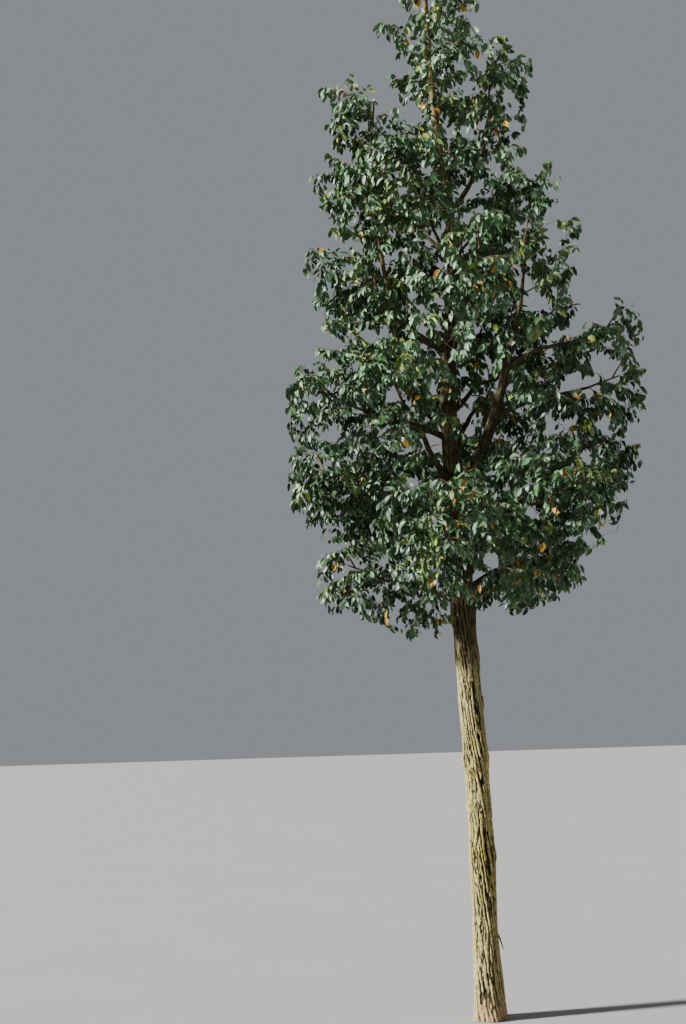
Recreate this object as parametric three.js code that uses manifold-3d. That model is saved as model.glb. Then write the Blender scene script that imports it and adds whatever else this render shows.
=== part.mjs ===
// Field elm of nursery size, in millimetres, +Z up.
// A trunk runs from the flat cut at ground level to the leader's tip. Boughs leave it and curve
// upward, and each ends where it enters a mass of foliage. A mass is twigs and leaves grown from
// one stem by a seeded rule, and it keeps to its own space. Each leaf stands for a spray of leaves.
// The origin is the centre of the cut. +X is to the right and +Y to the back of the tree.
import * as THREE from 'three';
import { mergeVertices } from 'three/addons/utils/BufferGeometryUtils.js';
import Module from 'manifold-3d';

// Trunk: the leader's tip, then the diameter and the axis offset at named heights.
const TREE_HEIGHT = 8000;
const TRUNK_SIDES = 12;
const TRUNK_DIAMETERS = [
  { height: 0, diameter: 200 },
  { height: 100, diameter: 180 },
  { height: 300, diameter: 163 },
  { height: 500, diameter: 150 },
  { height: 1000, diameter: 151 },
  { height: 2000, diameter: 142 },
  { height: 2350, diameter: 138 },
  { height: 2500, diameter: 142 },
  { height: 2800, diameter: 132 },
  { height: 3400, diameter: 114 },
  { height: 4200, diameter: 92 },
  { height: 5200, diameter: 64 },
  { height: 6500, diameter: 36 },
  { height: 7500, diameter: 18 },
  { height: 7960, diameter: 10 },
];
const TRUNK_AXIS = [
  { height: 0, right: 0, back: 0 },
  { height: 1300, right: 0, back: 8 },
  { height: 2050, right: -28, back: 14 },
  { height: 3000, right: -48, back: 0 },
  { height: 3750, right: -70, back: -16 },
  { height: 4350, right: -24, back: 0 },
  { height: 5000, right: 8, back: 18 },
  { height: 5700, right: -56, back: 10 },
  { height: 6700, right: -90, back: -10 },
  { height: 8000, right: -62, back: 0 },
];
const TRUNK_RINGS = 30;
const LOWEST_RING_SHARE = 0.55;
const ROOT_LOBES = 5;
const ROOT_LOBE_DEPTH = 0.07;
const ROOT_LOBE_HEIGHT = 260;

// Boughs: where each leaves its carrier, its heading (0 to the right, 90 to the back), its rise
// above level where it starts and ends, its length and its diameters at both ends. A carrier that
// isn't the trunk is named, with the share of its length. The foliage at the tip has its own
// heading and rise, its reach and its breadth. The tall left bough is split at its bend.
const BOUGHS = [
  { name: 'right_main', height: 3120, heading: -35, rise: 50, tipRise: 75, length: 1000,
    diameters: [92, 54], foliage: { heading: -22, rise: 75, reach: 1160, breadth: 700 } },
  { name: 'right_shelf', carrier: 'right_main', share: 0.92, heading: -8, rise: 36, tipRise: 28,
    length: 220, diameters: [36, 26], foliage: { heading: -6, rise: 10, reach: 740, breadth: 480 } },
  { name: 'right_middle', carrier: 'right_main', share: 0.62, heading: 8, rise: 22, tipRise: 24,
    length: 300, diameters: [40, 30], foliage: { heading: 6, rise: 10, reach: 790, breadth: 780 } },
  { name: 'right_long', height: 3040, heading: 14, rise: 8, tipRise: 32, length: 420,
    diameters: [52, 36], foliage: { heading: 10, rise: 30, reach: 930, breadth: 800 } },
  { name: 'right_front', height: 2900, heading: -44, rise: 26, tipRise: 18, length: 330,
    diameters: [34, 26], foliage: { heading: -36, rise: 4, reach: 880, breadth: 820 } },
  { name: 'right_low', height: 2540, heading: 2, rise: 40, tipRise: 30, length: 260,
    diameters: [36, 28], foliage: { heading: 2, rise: 12, reach: 640, breadth: 600 } },
  { name: 'right_inner', height: 3450, heading: 52, rise: 52, tipRise: 56, length: 380,
    diameters: [40, 30], foliage: { heading: 64, rise: 36, reach: 880, breadth: 820 } },
  { name: 'right_upper', height: 5120, heading: -14, rise: 46, tipRise: 74, length: 520,
    diameters: [38, 26], foliage: { heading: -8, rise: 80, reach: 860, breadth: 600 } },
  { name: 'left_low', height: 2460, heading: 188, rise: 36, tipRise: 22, length: 220,
    diameters: [36, 28], foliage: { heading: 186, rise: 16, reach: 800, breadth: 720 } },
  { name: 'left_long', height: 3060, heading: 182, rise: 16, tipRise: 26, length: 380,
    diameters: [46, 34], foliage: { heading: 180, rise: 18, reach: 820, breadth: 780 } },
  { name: 'left_level', height: 3550, heading: 204, rise: 24, tipRise: 12, length: 330,
    diameters: [40, 30], foliage: { heading: 198, rise: 16, reach: 820, breadth: 780 } },
  { name: 'left_front', height: 3250, heading: 232, rise: 22, tipRise: 70, length: 420,
    diameters: [44, 32], foliage: { heading: 228, rise: 50, reach: 820, breadth: 800 } },
  { name: 'left_rising', height: 3590, heading: 154, rise: 60, tipRise: 66, length: 480,
    diameters: [58, 40], foliage: { heading: 168, rise: 68, reach: 1340, breadth: 920 } },
  { name: 'left_tall_foot', height: 4160, heading: 190, rise: 14, tipRise: 52, length: 380,
    diameters: [54, 44] },
  { name: 'left_tall', carrier: 'left_tall_foot', share: 1, collar: 0, heading: 190, rise: 56,
    tipRise: 90, length: 290, diameters: [44, 36],
    foliage: { heading: 188, rise: 86, reach: 2100, breadth: 740 } },
  { name: 'front_low', height: 2680, heading: 258, rise: 34, tipRise: 26, length: 240,
    diameters: [34, 26], foliage: { heading: 264, rise: 8, reach: 840, breadth: 840 } },
  { name: 'front_middle', height: 4060, heading: 292, rise: 44, tipRise: 50, length: 300,
    diameters: [38, 28], foliage: { heading: 290, rise: 34, reach: 840, breadth: 840 } },
  { name: 'front_upper', height: 4700, heading: 240, rise: 44, tipRise: 56, length: 260,
    diameters: [34, 26], foliage: { heading: 242, rise: 44, reach: 760, breadth: 780 } },
];

// Boughs on the back, set out by one rule: even steps in height, and headings that step through
// the arc by the golden share. A pair holds the lowest bough's value and the highest one's.
const BACK_BOUGHS = 7;
const BACK_LOWEST = 2600;
const BACK_STEP = 370;
const BACK_ARC = { start: 24, sweep: 150, phase: 0.2 };
const BACK_RISE = 40;
const BACK_TIP_RISE = 52;
const BACK_LENGTHS = [380, 280];
const BACK_DIAMETERS = [[46, 34], [32, 22]];
const BACK_BREADTHS = [900, 740];
const BACK_FOLIAGE_RISES = [4, 48];
const GOLDEN_SHARE = 0.618034;
const GOLDEN_ANGLE = Math.PI * (3 - Math.sqrt(5));

// Foliage borne straight on the trunk, from the middle of the crown to the leader's tip. A pair
// holds the lowest mass's value and the highest one's.
const SPIRE_MASSES = 10;
const SPIRE_HEIGHTS = [4480, 7330];
const SPIRE_FIRST_HEADING = 120;
const SPIRE_RISES = [40, 84];
const SPIRE_REACHES = [990, 570];
const SPIRE_BREADTHS = [710, 400];
const SPIRE_STEM_DIAMETERS = [24, 12];

// The crown's half width at named heights, which the ruled boughs reach to.
const CROWN_OUTLINE = [
  { height: 2200, radius: 420 },
  { height: 2700, radius: 1000 },
  { height: 3600, radius: 1200 },
  { height: 4300, radius: 1160 },
  { height: 5200, radius: 880 },
  { height: 6200, radius: 600 },
  { height: 7000, radius: 420 },
  { height: 8000, radius: 120 },
];

// Limbs
const LIMB_SIDES = 6;
const LIMB_STEP = 150;
const COLLAR_SWELL = 0.35;
const COLLAR_LENGTH = 90;
const TAPER_POWER = 0.8;

// Foliage spaces: how far each reaches behind its root, and how blunt its ends are.
const SPACE_BEHIND = 0.25;
const SPACE_BLUNTNESS = 3;

// Twigs and leaves. A stem rises more towards its tip, and a pair holds the value at the stem's
// foot and tip, or the least and the most of a random one. Leaf places are shares of a twig.
const STEM_SIDES = 4;
const STEM_STEP = 260;
const STEM_SHARE = 0.72;
const STEM_LIFT = 14;
const STEM_TIP_DIAMETER = 14;
const STEM_SHARE_OF_BOUGH = 0.9;
const TWIG_SIDES = 3;
const TWIG_SPACING = 185;
const TWIG_SHARES = [0.12, 0.92];
const FEWEST_TWIGS = 3;
const TWIG_ANGLES = [1.35, 0.6];
const TWIG_LENGTHS = [0.4, 0.6];
const TWIG_SHORTENING = 0.8;
const TWIG_SHORTEST = 90;
const TWIG_DIAMETERS = [26, 18];
const TWIG_LEAVES = [1, 0.72, 0.44];
const STEM_LEAVES = [1, 0.82, 0.64, 0.46, 0.28, 0.1];
const LEAF_LENGTH = 400;
const LEAF_WIDTH_SHARE = 0.6;
const LEAF_THICKNESS_SHARE = 0.02;
const LEAF_THICKEST = 0.16;
const LEAF_SUNK = 8;
const LEAF_TWIST = 0.35;
const LEAF_SPREADS = [0.25, 1.5];
const LEAF_TRIES = 48;
const LEAF_SIZES = [1.1, 0.62];
const FULL_BREADTH = 760;

// Clearances: between touching pieces, between limbs and leaves, and to a neighbour's space.
const TOUCH_GAP = 0.3;
const LIMB_CLEARANCE = 6;
const WALL_CLEARANCE = 2;
const SHORTEST_EDGE = 0.05;

// Finishes
const TRUNK_FINISH = { color: 0x857a5c, roughness: 0.95 };
const BOUGH_FINISH = { color: 0x6f654c, roughness: 0.9 };
const FOLIAGE_FINISHES = [
  { color: 0x3b4c31, roughness: 0.7 },
  { color: 0x44573a, roughness: 0.7 },
  { color: 0x33442b, roughness: 0.7 },
];

// Seeded numbers, and how finely heights and shared corners are found.
const RANDOM_FACTOR = 1664525;
const RANDOM_STEP = 1013904223;
const SPIRE_FIRST_SEED = 101;
const AXIS_HALVINGS = 24;
const SHARED_CORNER = 1e-4;
const NEAR_UPRIGHT = 0.9;

const UP = new THREE.Vector3(0, 0, 1);
const RIGHT = new THREE.Vector3(1, 0, 0);
const { clamp, degToRad, lerp, radToDeg } = THREE.MathUtils;
const wasm = await Module();
wasm.setup();

// A value between the two of a pair.
function between([from, to], share) {
  return lerp(from, to, share);
}

// A seeded generator of numbers from 0 to 1.
function seededRandom(seed) {
  let state = seed;
  return () => {
    state = (Math.imul(state, RANDOM_FACTOR) + RANDOM_STEP) >>> 0;
    return state / 2 ** 32;
  };
}

// The value of one field of a table at a height between its rows.
function valueAt(table, field, height) {
  const last = table.length - 1;
  const next = Math.max(1, table.findIndex((row, i) => row.height >= height || i === last));
  const low = table[next - 1];
  const high = table[next];
  const share = clamp((height - low.height) / (high.height - low.height), 0, 1);
  return lerp(low[field], high[field], share);
}

const trunkCurve = new THREE.CatmullRomCurve3(
  TRUNK_AXIS.map(({ height, right, back }) => new THREE.Vector3(right, back, height)),
  false, 'catmullrom', 0.5,
);

// The point of the trunk's axis at a height, found by halving the curve's parameter.
function trunkPoint(height) {
  let low = 0;
  let high = 1;
  for (let i = 0; i < AXIS_HALVINGS; i += 1) {
    const middle = (low + high) / 2;
    if (trunkCurve.getPoint(middle).z < height) low = middle;
    else high = middle;
  }
  return trunkCurve.getPoint((low + high) / 2).setZ(height);
}

function trunkRadius(height) {
  return valueAt(TRUNK_DIAMETERS, 'diameter', height) / 2;
}

// A direction from its heading and its rise above level, both in degrees.
function direction(heading, rise) {
  const turn = degToRad(heading);
  const level = Math.cos(degToRad(rise));
  return new THREE.Vector3(level * Math.cos(turn), level * Math.sin(turn), Math.sin(degToRad(rise)));
}

// A closed geometry as a solid that can be joined and cut.
function solidOf(geometry) {
  const bare = geometry.clone();
  bare.deleteAttribute('normal');
  bare.deleteAttribute('uv');
  const merged = mergeVertices(bare, SHARED_CORNER);
  return new wasm.Manifold(new wasm.Mesh({
    numProp: 3,
    vertProperties: merged.getAttribute('position').array,
    triVerts: new Uint32Array(merged.index.array),
  }));
}

function geometryOf(solid) {
  const mesh = solid.getMesh();
  const geometry = new THREE.BufferGeometry();
  geometry.setAttribute('position', new THREE.BufferAttribute(mesh.vertProperties, 3));
  geometry.setIndex(new THREE.BufferAttribute(mesh.triVerts, 1));
  geometry.computeVertexNormals();
  return geometry;
}

// The largest body of a solid, without loose scraps and with any sealed hollow filled.
function mainBody(solid) {
  const bodies = solid.decompose();
  return bodies.reduce((best, body) => (body.volume() > best.volume() ? body : best));
}

// The trunk: a turned profile whose rings are carried along the bent axis. Lobes in the lowest
// part make the root flare. With extra it is grown by a clearance.
function trunkSolid(extra = 0) {
  const profile = [new THREE.Vector2(0, 0)];
  for (let i = 0; i <= TRUNK_RINGS; i += 1) {
    const share = i / TRUNK_RINGS;
    const height = TREE_HEIGHT * share * lerp(LOWEST_RING_SHARE, 1, share);
    const radius = i === TRUNK_RINGS ? 0 : trunkRadius(height) + extra;
    profile.push(new THREE.Vector2(radius, height));
  }
  const geometry = new THREE.LatheGeometry(profile, TRUNK_SIDES);
  geometry.rotateX(Math.PI / 2);
  const position = geometry.getAttribute('position');
  for (let i = 0; i < position.count; i += 1) {
    const height = position.getZ(i);
    const around = Math.atan2(position.getY(i), position.getX(i));
    const fade = Math.exp(-height / ROOT_LOBE_HEIGHT);
    const swell = 1 + ROOT_LOBE_DEPTH * fade * Math.cos(ROOT_LOBES * around);
    const centre = trunkPoint(height);
    position.setXY(i, position.getX(i) * swell + centre.x, position.getY(i) * swell + centre.y);
  }
  return solidOf(geometry);
}

// A tapering limb: its stations hold the centre, the frame and the radius along its route.
class Limb {
  constructor({ from, heading, rise, tipRise, length, diameters, step, collar = 0 }) {
    this.length = length;
    this.stations = [];
    const count = Math.max(2, Math.round(length / step));
    const point = from.clone();
    for (let i = 0; i <= count; i += 1) {
      const share = i / count;
      const tangent = direction(heading, lerp(rise, tipRise, share));
      const side = direction(heading - 90, 0);
      const swell = 1 + collar * Math.exp(-(share * length) / COLLAR_LENGTH);
      const radius = between(diameters, share ** TAPER_POWER) * swell / 2;
      this.stations.push({ point: point.clone(), tangent, side, radius });
      const stepRise = lerp(rise, tipRise, share + 0.5 / count);
      point.addScaledVector(direction(heading, stepRise), length / count);
    }
  }

  get tip() {
    return this.stations[this.stations.length - 1];
  }

  // The point, the tangent and the outward directions of four faces at a share of the length.
  at(share) {
    const place = clamp(share, 0, 1) * (this.stations.length - 1);
    const index = Math.min(Math.floor(place), this.stations.length - 2);
    const [low, high] = [this.stations[index], this.stations[index + 1]];
    const tangent = high.point.clone().sub(low.point).normalize();
    const across = new THREE.Vector3().crossVectors(low.side, tangent);
    const corner = low.side.clone().add(across).normalize();
    return {
      point: low.point.clone().lerp(high.point, place - index),
      tangent,
      faces: [0, 1, 2, 3].map((i) => corner.clone().applyAxisAngle(tangent, i * Math.PI / 2)),
    };
  }

  // A cylinder whose rings are carried to the stations, grown by extra round it and at its tip.
  solid(sides, extra = 0) {
    const rings = this.stations.length - 1;
    const geometry = new THREE.CylinderGeometry(1, 1, rings, sides, rings);
    const position = geometry.getAttribute('position');
    for (let i = 0; i < position.count; i += 1) {
      const ring = Math.round(position.getY(i) + rings / 2);
      const { point, tangent, side, radius } = this.stations[ring];
      const across = new THREE.Vector3().crossVectors(side, tangent);
      const placed = point.clone()
        .addScaledVector(tangent, ring === rings ? extra : 0)
        .addScaledVector(side, position.getX(i) * (radius + extra))
        .addScaledVector(across, position.getZ(i) * (radius + extra));
      position.setXYZ(i, placed.x, placed.y, placed.z);
    }
    return solidOf(geometry);
  }
}

// The space that a mass of foliage keeps to: a blunt egg round its axis that starts behind its
// root, cut off by flat walls towards its neighbours.
class Space {
  constructor(root, axis, reach, breadth) {
    this.axis = axis;
    this.halfReach = reach * (1 + SPACE_BEHIND) / 2;
    this.halfBreadth = breadth / 2;
    this.centre = root.clone().addScaledVector(axis, reach - this.halfReach);
    this.walls = [];
  }

  holds(points) {
    return points.every((point) => {
      const offset = point.clone().sub(this.centre);
      const along = offset.dot(this.axis);
      const across = Math.sqrt(Math.max(0, offset.lengthSq() - along * along));
      const share = Math.abs(along / this.halfReach) ** SPACE_BLUNTNESS
        + (across / this.halfBreadth) ** SPACE_BLUNTNESS;
      return share <= 1 && this.walls.every((wall) => wall.distanceToPoint(point) >= WALL_CLEARANCE);
    });
  }

  // A wall between two spaces, nearer to the smaller one.
  static part(a, b) {
    const normal = a.centre.clone().sub(b.centre).normalize();
    const share = b.halfBreadth / (a.halfBreadth + b.halfBreadth);
    const foot = b.centre.clone().lerp(a.centre, share);
    a.walls.push(new THREE.Plane().setFromNormalAndCoplanarPoint(normal, foot));
    b.walls.push(new THREE.Plane().setFromNormalAndCoplanarPoint(normal.clone().negate(), foot));
  }
}

// A leaf of eight faces: pointed at both ends, thickest near its root, lying from root along out.
function leafGeometry(root, out, across, length) {
  const geometry = new THREE.OctahedronGeometry(1);
  const position = geometry.getAttribute('position');
  const through = new THREE.Vector3().crossVectors(out, across);
  for (let i = 0; i < position.count; i += 1) {
    const [x, y, z] = [position.getX(i), position.getY(i), position.getZ(i)];
    const share = (1 + x) / 2 + Math.abs(z) * (LEAF_THICKEST - 0.5);
    const placed = root.clone()
      .addScaledVector(out, share * length)
      .addScaledVector(across, y * length * LEAF_WIDTH_SHARE / 2)
      .addScaledVector(through, z * length * LEAF_THICKNESS_SHARE / 2);
    position.setXYZ(i, placed.x, placed.y, placed.z);
  }
  return geometry;
}

// A straight tapering twig between two points, with the outward directions of its faces.
function makeTwig(from, to) {
  const length = from.distanceTo(to);
  const [foot, tip] = TWIG_DIAMETERS;
  const geometry = new THREE.CylinderGeometry(tip / 2, foot / 2, length, TWIG_SIDES);
  geometry.translate(0, length / 2, 0);
  const axis = to.clone().sub(from).normalize();
  const turn = new THREE.Quaternion().setFromUnitVectors(new THREE.Vector3(0, 1, 0), axis);
  geometry.applyQuaternion(turn);
  geometry.translate(from.x, from.y, from.z);
  const faces = Array.from({ length: TWIG_SIDES }, (_, i) => {
    const around = (i + 0.5) * 2 * Math.PI / TWIG_SIDES;
    return new THREE.Vector3(Math.sin(around), 0, Math.cos(around)).applyQuaternion(turn);
  });
  return { from, to, axis, faces, geometry };
}

function cornersOf(geometry) {
  const position = geometry.getAttribute('position');
  const corner = (_, i) => new THREE.Vector3().fromBufferAttribute(position, i);
  return Array.from({ length: position.count }, corner);
}

// A direction leaning off an axis by an angle, turned round the axis.
function leaning(axis, angle, around) {
  const aside = Math.abs(axis.z) > NEAR_UPRIGHT ? RIGHT : UP;
  const spoke = new THREE.Vector3().crossVectors(axis, aside).normalize().applyAxisAngle(axis, around);
  return axis.clone().multiplyScalar(Math.cos(angle)).addScaledVector(spoke, Math.sin(angle)).normalize();
}

// A mass of foliage: a stem from its root, side twigs by the golden angle, and leaves at set places
// on the twigs and the stem, turned at random. What would leave the space or come near a limb is
// skipped, and so is a leaf that would cross another leaf or twig.
class Foliage {
  constructor({ name, bearer, root, heading, rise, reach, breadth, stemDiameter, seed }) {
    this.name = name;
    this.bearer = bearer;
    this.space = new Space(root, direction(heading, rise), reach, breadth);
    this.leafLength = LEAF_LENGTH * Math.min(1, breadth / FULL_BREADTH);
    this.stem = new Limb({
      from: root,
      heading,
      rise: rise - STEM_LIFT / 2,
      tipRise: rise + STEM_LIFT,
      length: reach * STEM_SHARE,
      diameters: [stemDiameter, STEM_TIP_DIAMETER],
      step: STEM_STEP,
    });
    this.random = seededRandom(seed);
    this.leaves = [];
  }

  // A geometry as a solid, or null where it leaves the space or crosses a limb.
  fitted(geometry, limbs) {
    if (!this.space.holds(cornersOf(geometry))) return null;
    const solid = solidOf(geometry);
    return solid.intersect(limbs).isEmpty() ? solid : null;
  }

  // A leaf at one point of a twig or the stem, tried at several turns. It leaves through the middle
  // of one face, edge on, with its root sunk in.
  growLeaf({ place, axis, faces, atEnd, others }, limbs) {
    for (let i = 0; i < LEAF_TRIES; i += 1) {
      const length = this.leafLength * between(LEAF_SIZES, i / LEAF_TRIES);
      const spread = atEnd ? LEAF_SPREADS[0] : between(LEAF_SPREADS, Math.sqrt(this.random()));
      const face = faces[Math.floor(this.random() * faces.length)];
      const out = axis.clone().multiplyScalar(Math.cos(spread)).addScaledVector(face, Math.sin(spread));
      const across = axis.clone().multiplyScalar(Math.sin(spread)).addScaledVector(face, -Math.cos(spread));
      across.applyAxisAngle(out, lerp(-LEAF_TWIST, LEAF_TWIST, this.random()));
      const root = place.clone().addScaledVector(out, -LEAF_SUNK);
      const leaf = this.fitted(leafGeometry(root, out, across, length), limbs);
      const clear = leaf && [...others, ...this.leaves].every((other) => leaf.intersect(other).isEmpty());
      if (clear) {
        this.leaves.push(leaf);
        return;
      }
    }
  }

  // A side twig of the stem, shortened until it fits, or null.
  twigAt(share, turn, limbs) {
    const { point, tangent } = this.stem.at(share);
    const out = leaning(tangent, between(TWIG_ANGLES, share), turn);
    const full = this.space.halfBreadth * between(TWIG_LENGTHS, this.random());
    for (let length = full; length > TWIG_SHORTEST; length *= TWIG_SHORTENING) {
      const twig = makeTwig(point, point.clone().addScaledVector(out, length));
      const solid = this.fitted(twig.geometry, limbs);
      if (solid) return { ...twig, solid };
    }
    return null;
  }

  solid(limbs) {
    const stem = this.stem.solid(STEM_SIDES);
    const count = Math.max(FEWEST_TWIGS, Math.round(this.stem.length / TWIG_SPACING));
    const twigs = Array.from({ length: count }, (_, i) => {
      const share = between(TWIG_SHARES, i / (count - 1));
      return this.twigAt(share, i * GOLDEN_ANGLE + this.random(), limbs);
    }).filter(Boolean);
    const wood = [stem, ...twigs.map((twig) => twig.solid)];
    twigs.forEach(({ from, to, axis, faces, solid }) => TWIG_LEAVES.forEach((share) => {
      const place = from.clone().lerp(to, share);
      const others = wood.filter((piece) => piece !== solid);
      this.growLeaf({ place, axis, faces, atEnd: share === 1, others }, limbs);
    }));
    STEM_LEAVES.forEach((share) => {
      const { point: place, tangent: axis, faces } = this.stem.at(share);
      const others = wood.slice(1);
      this.growLeaf({ place, axis, faces, atEnd: share === 1, others }, limbs);
    });
    return mainBody(wasm.Manifold.union([...wood, ...this.leaves])).simplify(SHORTEST_EDGE);
  }
}

// Every bough as a row of sizes, those of the back by their rule.
function allBoughs() {
  const back = Array.from({ length: BACK_BOUGHS }, (_, i) => {
    const share = i / (BACK_BOUGHS - 1);
    const height = BACK_LOWEST + i * BACK_STEP;
    const heading = BACK_ARC.start + BACK_ARC.sweep * ((i * GOLDEN_SHARE + BACK_ARC.phase) % 1);
    const length = between(BACK_LENGTHS, share);
    const run = length * Math.cos(degToRad((BACK_RISE + BACK_TIP_RISE) / 2));
    const rise = between(BACK_FOLIAGE_RISES, share);
    const radius = valueAt(CROWN_OUTLINE, 'radius', height + length);
    return {
      name: `back_${i + 1}`,
      height,
      heading,
      rise: BACK_RISE,
      tipRise: BACK_TIP_RISE,
      length,
      diameters: BACK_DIAMETERS.map((pair) => between(pair, share)),
      foliage: {
        heading,
        rise,
        reach: (radius - run) / Math.cos(degToRad(rise)),
        breadth: between(BACK_BREADTHS, share),
      },
    };
  });
  return [...BOUGHS, ...back];
}

// The limb of each bough, starting on its carrier's axis.
function boughLimbs(rows) {
  const limbs = new Map();
  rows.forEach((row) => {
    const from = row.carrier ? limbs.get(row.carrier).at(row.share).point : trunkPoint(row.height);
    limbs.set(row.name, new Limb({ collar: COLLAR_SWELL, ...row, from, step: LIMB_STEP }));
  });
  return limbs;
}

// The foliage at each bough's tip, then the masses that the trunk bears by the golden angle.
function allFoliage(rows, limbs) {
  const atTips = rows.filter((row) => row.foliage).map(({ name, foliage }, i) => {
    const { point, tangent, radius } = limbs.get(name).tip;
    const root = point.clone().addScaledVector(tangent, -radius);
    return new Foliage({
      ...foliage,
      name: `foliage_${name}`,
      bearer: name,
      root,
      stemDiameter: STEM_SHARE_OF_BOUGH * 2 * radius,
      seed: i + 1,
    });
  });
  const onTrunk = Array.from({ length: SPIRE_MASSES }, (_, i) => {
    const share = i / (SPIRE_MASSES - 1);
    return new Foliage({
      name: `foliage_spire_${i + 1}`,
      root: trunkPoint(between(SPIRE_HEIGHTS, share)),
      heading: SPIRE_FIRST_HEADING - radToDeg(i * GOLDEN_ANGLE),
      rise: between(SPIRE_RISES, share),
      reach: between(SPIRE_REACHES, share),
      breadth: between(SPIRE_BREADTHS, share),
      stemDiameter: between(SPIRE_STEM_DIAMETERS, share),
      seed: SPIRE_FIRST_SEED + i,
    });
  });
  const masses = [...atTips, ...onTrunk];
  masses.forEach((a, i) => masses.slice(i + 1).forEach((b) => Space.part(a.space, b.space)));
  return masses;
}

function meshOf(name, solid, finish) {
  const material = new THREE.MeshStandardMaterial({ ...finish, metalness: 0, flatShading: true });
  const mesh = new THREE.Mesh(geometryOf(solid), material);
  mesh.name = name;
  return mesh;
}

// The whole tree: the trunk, each bough cut 0.3 mm clear of its carrier, and each mass cut clear of
// what bears it.
function fieldElm() {
  const tree = new THREE.Group();
  const wood = new THREE.Group();
  const crown = new THREE.Group();
  tree.add(wood, crown);
  const trunkClear = trunkSolid(TOUCH_GAP);
  wood.add(meshOf('trunk', trunkSolid(), TRUNK_FINISH));

  const rows = allBoughs();
  const limbs = boughLimbs(rows);
  const clearOf = (name) => (name ? limbs.get(name).solid(LIMB_SIDES, TOUCH_GAP) : trunkClear);
  rows.forEach(({ name, carrier }) => {
    const solid = limbs.get(name).solid(LIMB_SIDES).subtract(clearOf(carrier));
    wood.add(meshOf(`bough_${name}`, mainBody(solid), BOUGH_FINISH));
  });

  const limbsClear = wasm.Manifold.union([
    trunkSolid(LIMB_CLEARANCE),
    ...[...limbs.values()].map((limb) => limb.solid(LIMB_SIDES, LIMB_CLEARANCE)),
  ]);
  allFoliage(rows, limbs).forEach((mass, i) => {
    const solid = mass.solid(limbsClear).subtract(clearOf(mass.bearer));
    crown.add(meshOf(mass.name, mainBody(solid), FOLIAGE_FINISHES[i % FOLIAGE_FINISHES.length]));
  });
  return tree;
}

const group = fieldElm();
export default group;
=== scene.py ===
"""Field elm of nursery size, dressed around its solid model: bark, boughs, twigs and leaves.

Lengths are in metres, and headings and rises in degrees. +Z is up, +X to the right and +Y to the
back of the tree, and the origin is the centre of the flat cut at ground level.
"""
import logging
import math
from dataclasses import dataclass, field
from enum import Enum

import bpy
import numpy as np
from mathutils import Matrix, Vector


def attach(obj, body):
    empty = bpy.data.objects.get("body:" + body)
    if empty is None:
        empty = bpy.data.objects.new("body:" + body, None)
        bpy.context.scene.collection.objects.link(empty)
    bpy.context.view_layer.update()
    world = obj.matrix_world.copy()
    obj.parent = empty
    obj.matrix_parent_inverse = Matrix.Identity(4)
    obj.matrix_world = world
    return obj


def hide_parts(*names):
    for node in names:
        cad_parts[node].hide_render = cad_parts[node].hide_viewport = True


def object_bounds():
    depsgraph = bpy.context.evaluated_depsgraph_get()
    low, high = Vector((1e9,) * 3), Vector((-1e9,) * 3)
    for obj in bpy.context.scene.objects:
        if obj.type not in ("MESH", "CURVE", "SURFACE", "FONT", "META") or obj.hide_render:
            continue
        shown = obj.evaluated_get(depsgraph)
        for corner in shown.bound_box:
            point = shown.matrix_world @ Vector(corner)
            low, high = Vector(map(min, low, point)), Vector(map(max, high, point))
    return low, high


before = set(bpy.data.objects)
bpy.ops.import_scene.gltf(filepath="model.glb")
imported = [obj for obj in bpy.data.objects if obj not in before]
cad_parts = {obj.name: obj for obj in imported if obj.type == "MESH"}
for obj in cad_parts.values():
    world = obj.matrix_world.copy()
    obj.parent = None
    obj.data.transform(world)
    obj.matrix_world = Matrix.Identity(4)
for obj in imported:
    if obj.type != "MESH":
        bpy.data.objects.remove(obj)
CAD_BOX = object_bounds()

LOG = logging.getLogger("field_elm")
Array = np.ndarray
Color = tuple[float, float, float, float]

# The trunk: its diameter, and the offset of its axis to the right and the back, by height

TREE_HEIGHT = 8.0
TRUNK_DIAMETERS = (
    (0.0, 0.200), (0.1, 0.180), (0.3, 0.163), (0.5, 0.150), (1.0, 0.151), (2.0, 0.142), (2.35, 0.138),
    (2.5, 0.142), (2.8, 0.132), (3.4, 0.114), (4.2, 0.092), (5.2, 0.064), (6.5, 0.036), (7.5, 0.018),
    (7.96, 0.010),
)
TRUNK_AXIS = (
    (0.0, 0.0, 0.0), (1.3, 0.0, 0.008), (2.05, -0.028, 0.014), (3.0, -0.048, 0.0),
    (3.75, -0.070, -0.016), (4.35, -0.024, 0.0), (5.0, 0.008, 0.018), (5.7, -0.056, 0.010),
    (6.7, -0.090, -0.010), (8.0, -0.062, 0.0),
)
ROOT_LOBES = 5
ROOT_LOBE_DEPTH = 0.07
ROOT_LOBE_HEIGHT = 0.26

# Limbs and the foliage that they bear

CLEAR_STEM = 1.5
LIMB_STEP = 0.15
COLLAR_SWELL = 0.35
COLLAR_LENGTH = 0.09
TAPER_POWER = 0.8
SPACE_BEHIND = 0.25
SPACE_BLUNTNESS = 3
STEM_STEP = 0.26
STEM_SHARE = 0.72
STEM_LIFT = 14.0
STEM_SHARE_OF_BOUGH = 0.9
GOLDEN_SHARE = 0.618034
GOLDEN_ANGLE = math.pi * (3 - math.sqrt(5))
NEAR_UPRIGHT = 0.9
UP = np.array((0.0, 0.0, 1.0))
RIGHT = np.array((1.0, 0.0, 0.0))


@dataclass(frozen=True)
class FoliagePlan:
    """The foliage at a bough's tip: its heading and rise, its reach and its breadth."""

    heading: float
    rise: float
    reach: float
    breadth: float


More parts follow.
